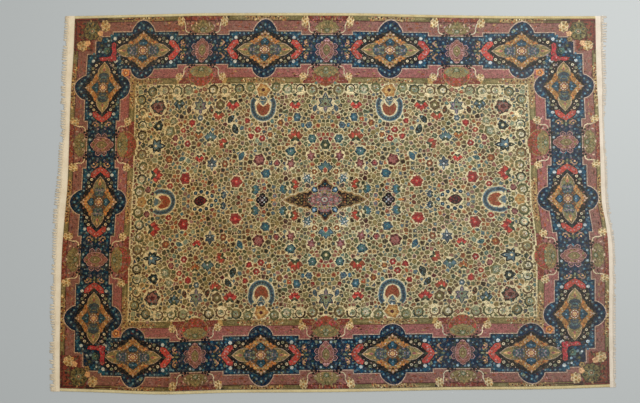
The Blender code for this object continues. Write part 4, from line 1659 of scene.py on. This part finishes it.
def tube(name, rings):
    """A closed tube through rings of points."""
    shape = bmesh.new()
    rows = [[shape.verts.new(point) for point in ring] for ring in rings]
    for a, b in zip(rows, rows[1:]):
        for k in range(len(a)):
            shape.faces.new((a[k - 1], a[k], b[k], b[k - 1]))
    shape.faces.new(rows[0][::-1])
    shape.faces.new(rows[-1])
    return bpy.data.objects.new(name, finished_mesh(name, shape, True))


def stitch_ring(i):
    """One ring of a wrapped stitch, which slants over the bundle and is flat where it turns under."""
    angle = math.pi * i / (STITCH_RINGS - 1)
    y = (STITCH_SLANT - BINDING_WIDTH / 2) * math.cos(angle)
    z = STITCH_LIFT + (BINDING_HEIGHT - 0.0030) * math.sin(angle) ** 0.6
    ring = []
    for k in range(STITCH_SIDES):
        turn = 2 * math.pi * k / STITCH_SIDES
        x = STITCH_PITCH * 0.62 * math.cos(turn) + STITCH_SLANT * math.cos(angle)
        out = YARN_RADIUS * math.sin(turn)
        ring.append((x, y - out * math.cos(angle), max(z + out * math.sin(angle), 0.0)))
    return ring


def strand_ring(i):
    """One ring of a loose warp along +X, of unit length and thickness, tapering, with a lazy bend."""
    t = i / (STRAND_RINGS - 1)
    radius, bend = 1 - 0.3 * t, 0.9 * math.sin(t * 3.4)
    turns = [2 * math.pi * k / STRAND_SIDES + math.pi / 6 for k in range(STRAND_SIDES)]
    return [(t, bend + radius * math.cos(turn), radius * (1 + math.sin(turn))) for turn in turns]


def cotton_material(name, light, dark, scale_x, scale_y, bump):
    """Undyed or straw-coloured cotton: fine strands, soiled in places."""
    material, tree, shader = new_material(name, 0.9)
    real, _ = object_place(tree)
    strands = noise(tree, scaled(tree, real, scale_x, scale_y, 400), 1.0, 3, 0.6)
    soil = remap(tree, noise(tree, real, 9, 4, 0.65), 0.42, 0.7, 0.0, 0.5)
    shade = remap(tree, strands, 0.25, 0.75, 0.84, 1.12)
    colour = shaded(tree, mixed(tree, soil, screen(*light), screen(*dark)), shade)
    tree.links.new(colour, shader.inputs["Base Color"])
    shader.inputs["Sheen Weight"].default_value = 0.1
    bumped(tree, shader, strands, bump, 0.8)
    return material


stitch = tube("stitch", [stitch_ring(i) for i in range(STITCH_RINGS)])
strand = tube("strand", [strand_ring(i) for i in range(STRAND_RINGS)])
print("a stitch has", len(stitch.data.polygons), "faces and a strand", len(strand.data.polygons))

# %% [markdown]
# Geometry Nodes set a small object down at many points. Both trees here end alike: the instances are made
# real and given their material, and the result is kept as a plain mesh. The values that a maker may want to
# change are named inputs of the tree.

# %% Helpers for Geometry Nodes
def group(name, **numbers):
    """A tree with a geometry input and output, and a named number input for each value."""
    tree = bpy.data.node_groups.new(name, "GeometryNodeTree")
    tree.interface.new_socket("Geometry", in_out="INPUT", socket_type="NodeSocketGeometry")
    tree.interface.new_socket("Geometry", in_out="OUTPUT", socket_type="NodeSocketGeometry")
    for key, value in numbers.items():
        socket = tree.interface.new_socket(key, in_out="INPUT", socket_type="NodeSocketFloat")
        socket.default_value = value
    return tree, tree.nodes.new("NodeGroupInput").outputs


def set_down(tree, points, thing, rotation, scale, material):
    """The end of a tree: instances on points, made real, with their material."""
    source = add(tree, "GeometryNodeObjectInfo", {"Object": thing})
    feeds = {"Points": points, "Instance": source.outputs["Geometry"], "Rotation": rotation, "Scale": scale}
    place = add(tree, "GeometryNodeInstanceOnPoints", feeds)
    real = add(tree, "GeometryNodeRealizeInstances", {0: place.outputs[0]})
    coloured = add(tree, "GeometryNodeSetMaterial", {"Geometry": real.outputs[0], "Material": material})
    add(tree, "NodeGroupOutput", {"Geometry": coloured.outputs[0]})
    return tree


def apply_tree(name, mesh, tree, **values):
    """Run a tree on a mesh, and keep its result as a plain mesh."""
    carrier = added("carrier", mesh)
    modifier = carrier.modifiers.new("grow", "NODES")
    modifier.node_group = tree
    for socket in tree.interface.items_tree:
        if getattr(socket, "in_out", "") == "INPUT" and socket.name in values:
            modifier[socket.identifier] = values[socket.name]
    graph = bpy.context.evaluated_depsgraph_get()
    result = bpy.data.meshes.new_from_object(carrier.evaluated_get(graph))
    result.name = name
    bpy.data.objects.remove(carrier)
    return added(name, result)


print(len(bpy.data.node_groups), "node trees so far")

# %% [markdown]
# The stitches follow the side's own line. Each is turned along it and made a little smaller at random, with a
# fixed seed.

# %% The side bindings
LINE_POINTS = 90
UNEVENNESS = 0.12
LINE_INSET, SEWN_GAP = 0.003, 0.0003  # metres


def side_line(node_name, table, outward):
    """The middle of a binding, from end to end of its solid."""
    solid = solid_points(node_name)
    xs = np.linspace(solid[:, 0].min() + LINE_INSET, solid[:, 0].max() - LINE_INSET, LINE_POINTS)
    points = [(x, float(edge(table, x)) + outward, 0.0) for x in xs]
    return plain_mesh("line", points, [(i, i + 1) for i in range(LINE_POINTS - 1)])


def stitch_tree(material):
    tree, given = group("overcast_stitches", Pitch=STITCH_PITCH, Unevenness=UNEVENNESS)
    curve = add(tree, "GeometryNodeMeshToCurve", {"Mesh": given["Geometry"]}).outputs[0]
    feeds = {"Curve": curve, "Length": given["Pitch"]}
    points = add(tree, "GeometryNodeCurveToPoints", feeds, mode="LENGTH").outputs
    turn = add(tree, "FunctionNodeAlignRotationToVector", {"Vector": points["Tangent"]}, axis="X")
    smallest = maths(tree, "SUBTRACT", 1.0, given["Unevenness"])
    feeds = {2: smallest, 3: 1.0, "Seed": SEED}
    size = add(tree, "FunctionNodeRandomValue", feeds, data_type="FLOAT")
    return set_down(tree, points["Points"], stitch, turn.outputs[0], size.outputs[1], material)


binding_cotton = cotton_material("overcast_yarn", (232, 214, 162), (196, 168, 114), 500, 60, 0.0005)
stitches = stitch_tree(binding_cotton)
for name, table, sign in (("binding_north", NORTH, 1), ("binding_south", SOUTH, -1)):
    line = side_line(name, table, sign * (BINDING_WIDTH / 2 + SEWN_GAP))
    made = apply_tree(f"{name}_yarn", line, stitches, Pitch=STITCH_PITCH, Unevenness=UNEVENNESS)
    dressed(made, name)
    print(made.name, len(made.data.polygons), "faces")
bpy.data.objects.remove(stitch)

# %% [markdown]
# At each end the weaver goes on for a few centimetres without knots, and that flat weave holds the last row.
# It's one thin cloth with a slightly wavy face. How wide it is, and how far the warps reach past it, is read
# from the frame's own solid, place by place.

# %% The flat-woven ends
WEAVE_HEIGHT = 0.003
WEAVE_ROWS, WEAVE_POINTS = 420, 9
WOBBLE_PLACES, WOBBLE = 160, 0.0012


def end_table(sign):
    return EAST if sign > 0 else WEST


def end_measures(node_name, sign):
    """The weave's outer edge along the end, and how far the locks reach past it, read from the solid."""
    points = solid_points(node_name)
    points = points[points[:, 2] < 0.001]
    ys = np.linspace(points[:, 1].min(), points[:, 1].max(), 64)
    roots, tips = [], []
    for y in ys:
        out = points[np.abs(points[:, 1] - y) < 0.04][:, 0] * sign
        beyond = out[out > float(edge(end_table(sign), y)) * sign + 0.02]
        roots.append(beyond.min())
        tips.append(beyond.max())
    return ys, np.array(roots) * sign, np.array(tips) * sign


def cloth_mesh(name, inner, outer, ys):
    """A closed thin cloth between two lines: each row is a wavy face over a flat back."""
    verts, faces = [], []
    shares = np.linspace(0, 1, WEAVE_POINTS)
    for x_in, x_out, y in zip(inner, outer, ys):
        row = [(x_in + (x_out - x_in) * t, y) for t in shares]
        lifts = WEAVE_HEIGHT * (1 - 0.35 * shares**4) + 0.0004 * np.sin(y * 34 + 6 * shares) * (1 - shares)
        verts += [(*place, lift) for place, lift in zip(row, lifts)]
        verts += [(*place, 0.0) for place in row[::-1]]
    ring = 2 * WEAVE_POINTS
    for a in range(0, (len(ys) - 1) * ring, ring):
        for k in range(ring):
            after = (k + 1) % ring
            faces.append((a + k, a + after, a + ring + after, a + ring + k))
    faces += [list(range(ring)), list(range(len(verts) - ring, len(verts)))]
    shape = bmesh.new()
    shape.from_mesh(plain_mesh(name, verts, (), faces))
    return finished_mesh(name, shape)


def end_cloth(name, sign, ys, roots):
    """The cloth of one end, and its outer edge."""
    fine = np.linspace(ys[0], ys[-1], WEAVE_ROWS)
    rng = np.random.default_rng(SEED + (1 if sign > 0 else 2))
    places = np.linspace(fine[0], fine[-1], WOBBLE_PLACES)
    wobble = np.interp(fine, places, rng.normal(0, WOBBLE, WOBBLE_PLACES))
    outer = np.interp(fine, ys, roots) + sign * (wobble + 0.001)
    inner = edge(end_table(sign), fine) + sign * 0.0004
    return added(name, cloth_mesh(name, inner, outer, fine)), fine, outer


print("the flat weave has", WEAVE_ROWS, "rows across each end")

# %% [markdown]
# Past the weave the warps hang free. They lie in thin, uneven locks, and some have worn short. Where each
# strand starts, and its direction and length, are worked out lock by lock and kept as attributes of a point,
# which the tree reads. The west end is longer and warmer in colour than the east end.

# %% The fringe
LOCK_PITCH, WARP_RADIUS = 0.0187, 0.0016
TUCK = 0.006  # how far a strand starts inside the weave
CORNER_ROOM, STRAIGHT_ROOM = 0.0015, 0.03  # from a corner: where strands may start, and where none leans
WORN_SHARE, GATHER = 0.1, 0.4  # the share of short locks, and how far a lock's strands lean together


def lock_traits(rng, count):
    """How each lock leans, and what share of its full length is left."""
    lean, left = rng.normal(0, 0.07, count), rng.uniform(0.9, 1.0, count)
    worn = rng.random(count) < WORN_SHARE
    worn[1:] |= worn[:-1] & (rng.random(count - 1) < 0.5)
    left[worn] *= rng.uniform(0.25, 0.6, worn.sum())
    return lean, left


def fringe_points(sign, fine, outer, ys, tips, count):
    """Where each strand starts, with its direction and length as attributes."""
    rng = np.random.default_rng(SEED + 20 + sign)
    where = np.linspace(fine[0] + 0.001, fine[-1] - 0.001, count) + rng.normal(0, 0.0006, count)
    where = np.clip(where, fine[0] + CORNER_ROOM, fine[-1] - CORNER_ROOM)
    lock = np.floor((where - fine[0]) / LOCK_PITCH).astype(int)
    lean, left = lock_traits(rng, lock.max() + 1)
    start = np.interp(where, fine, outer)
    reach = np.abs(np.interp(where, ys, tips) - start)
    length = np.maximum(reach * left[lock] * rng.uniform(0.8, 1.02, count), 0.003) + TUCK
    gather = (fine[0] + (lock + 0.5) * LOCK_PITCH - where) / LOCK_PITCH * GATHER
    angle = lean[lock] + gather + rng.normal(0, 0.05, count)
    angle[np.minimum(where - fine[0], fine[-1] - where) < STRAIGHT_ROOM] = 0.0
    heights = 0.0002 + 0.0009 * rng.random(count)
    mesh = plain_mesh("starts", list(zip(start - sign * TUCK, where, heights)))
    for key, values in (("angle", angle if sign > 0 else math.pi - angle), ("length", length)):
        mesh.attributes.new(key, "FLOAT", "POINT").data.foreach_set("value", values)
    return mesh


def fringe_tree(material):
    tree, given = group("loose_warps", Thickness=WARP_RADIUS)
    points = add(tree, "GeometryNodeMeshToPoints", {"Mesh": given["Geometry"]}).outputs[0]
    angle, length = (
        add(tree, "GeometryNodeInputNamedAttribute", {"Name": key}, data_type="FLOAT").outputs["Attribute"]
        for key in ("angle", "length")
    )
    turn = add(tree, "ShaderNodeCombineXYZ", {"Z": angle}).outputs[0]
    thickness = given["Thickness"]
    size = add(tree, "ShaderNodeCombineXYZ", {"X": length, "Y": thickness, "Z": thickness}).outputs[0]
    return set_down(tree, points, strand, turn, size, material)


for name, sign, count, light, dark in (
    ("fringe_west", -1, 2500, (246, 226, 192), (222, 196, 156)),
    ("fringe_east", 1, 2000, (236, 222, 202), (206, 190, 166)),
):
    ys, roots, tips = end_measures(name, sign)
    cloth, fine, outer = end_cloth(f"{name}_weave", sign, ys, roots)
    cloth.data.materials.append(cotton_material(f"{name}_weave", light, dark, 90, 700, 0.0007))
    warps = fringe_tree(cotton_material(f"{name}_warp", light, dark, 60, 700, 0.0006))
    starts = fringe_points(sign, fine, outer, ys, tips, count)
    locks = apply_tree(f"{name}_warps", starts, warps, Thickness=WARP_RADIUS)
    for piece in (cloth, locks):
        dressed(piece, name)
        print(piece.name, len(piece.data.polygons), "faces")
bpy.data.objects.remove(strand)

# %% [markdown]
# The carpet is one sheet of cloth that lies on the floor. Its flat size is the cartoon's, 3.90 m by 2.69 m.
# The strips of pile, the bindings and the ends go with it.

# %% [markdown]
# The photograph looks almost straight down, from about 4.4 m up and a little towards the south side, with the
# camera tipped 5 degrees. The stage is a plain pale floor under large soft lamps.

# %% Floor, light and camera
CAMERA_AT, CAMERA_TIP, CAMERA_LENS = (-0.1045, -0.4005, 4.37), 4.95, 33.75
FLOOR_REACH, FLOOR_DROP = 9.0, 0.0005
LAMPS = (("key", (3.4, 2.2, 4.2), 3.5, 150), ("fill", (-1.5, 1.5, 5.0), 4.0, 50))  # place, size, watts


def pale_floor():
    corners = [(x * FLOOR_REACH, y * FLOOR_REACH, 0) for x, y in ((-1, -1), (1, -1), (1, 1), (-1, 1))]
    floor = added("floor", plain_mesh("floor", corners, (), [(0, 1, 2, 3)]))
    floor.location.z = -FLOOR_DROP
    material, tree, shader = new_material("pale_floor", 0.8)
    shader.inputs["Base Color"].default_value = (0.55, 0.57, 0.56, 1)
    floor.data.materials.append(material)


def studio_light():
    world = bpy.data.worlds.new("studio")
    world.use_nodes = True
    world.node_tree.nodes["Background"].inputs[0].default_value = (0.97, 0.99, 1.0, 1)
    world.node_tree.nodes["Background"].inputs[1].default_value = 0.5
    bpy.context.scene.world = world
    bpy.context.scene.view_settings.view_transform = "Standard"
    for name, at, size, watts in LAMPS:
        lamp = bpy.data.lights.new(name, "AREA")
        lamp.energy = watts
        lamp.size = size
        light = added(name, lamp)
        light.location = at
        light.rotation_euler = (-Vector(at)).to_track_quat("-Z", "Y").to_euler()


def photo_camera():
    data = bpy.data.cameras.new("camera")
    data.sensor_width = 36
    data.lens = CAMERA_LENS
    camera = added("camera", data)
    camera.location = CAMERA_AT
    camera.rotation_euler = (math.radians(CAMERA_TIP), 0, 0)
    bpy.context.scene.camera = camera


pale_floor()
studio_light()
photo_camera()
print("camera", CAMERA_AT, "tipped", CAMERA_TIP, "degrees")
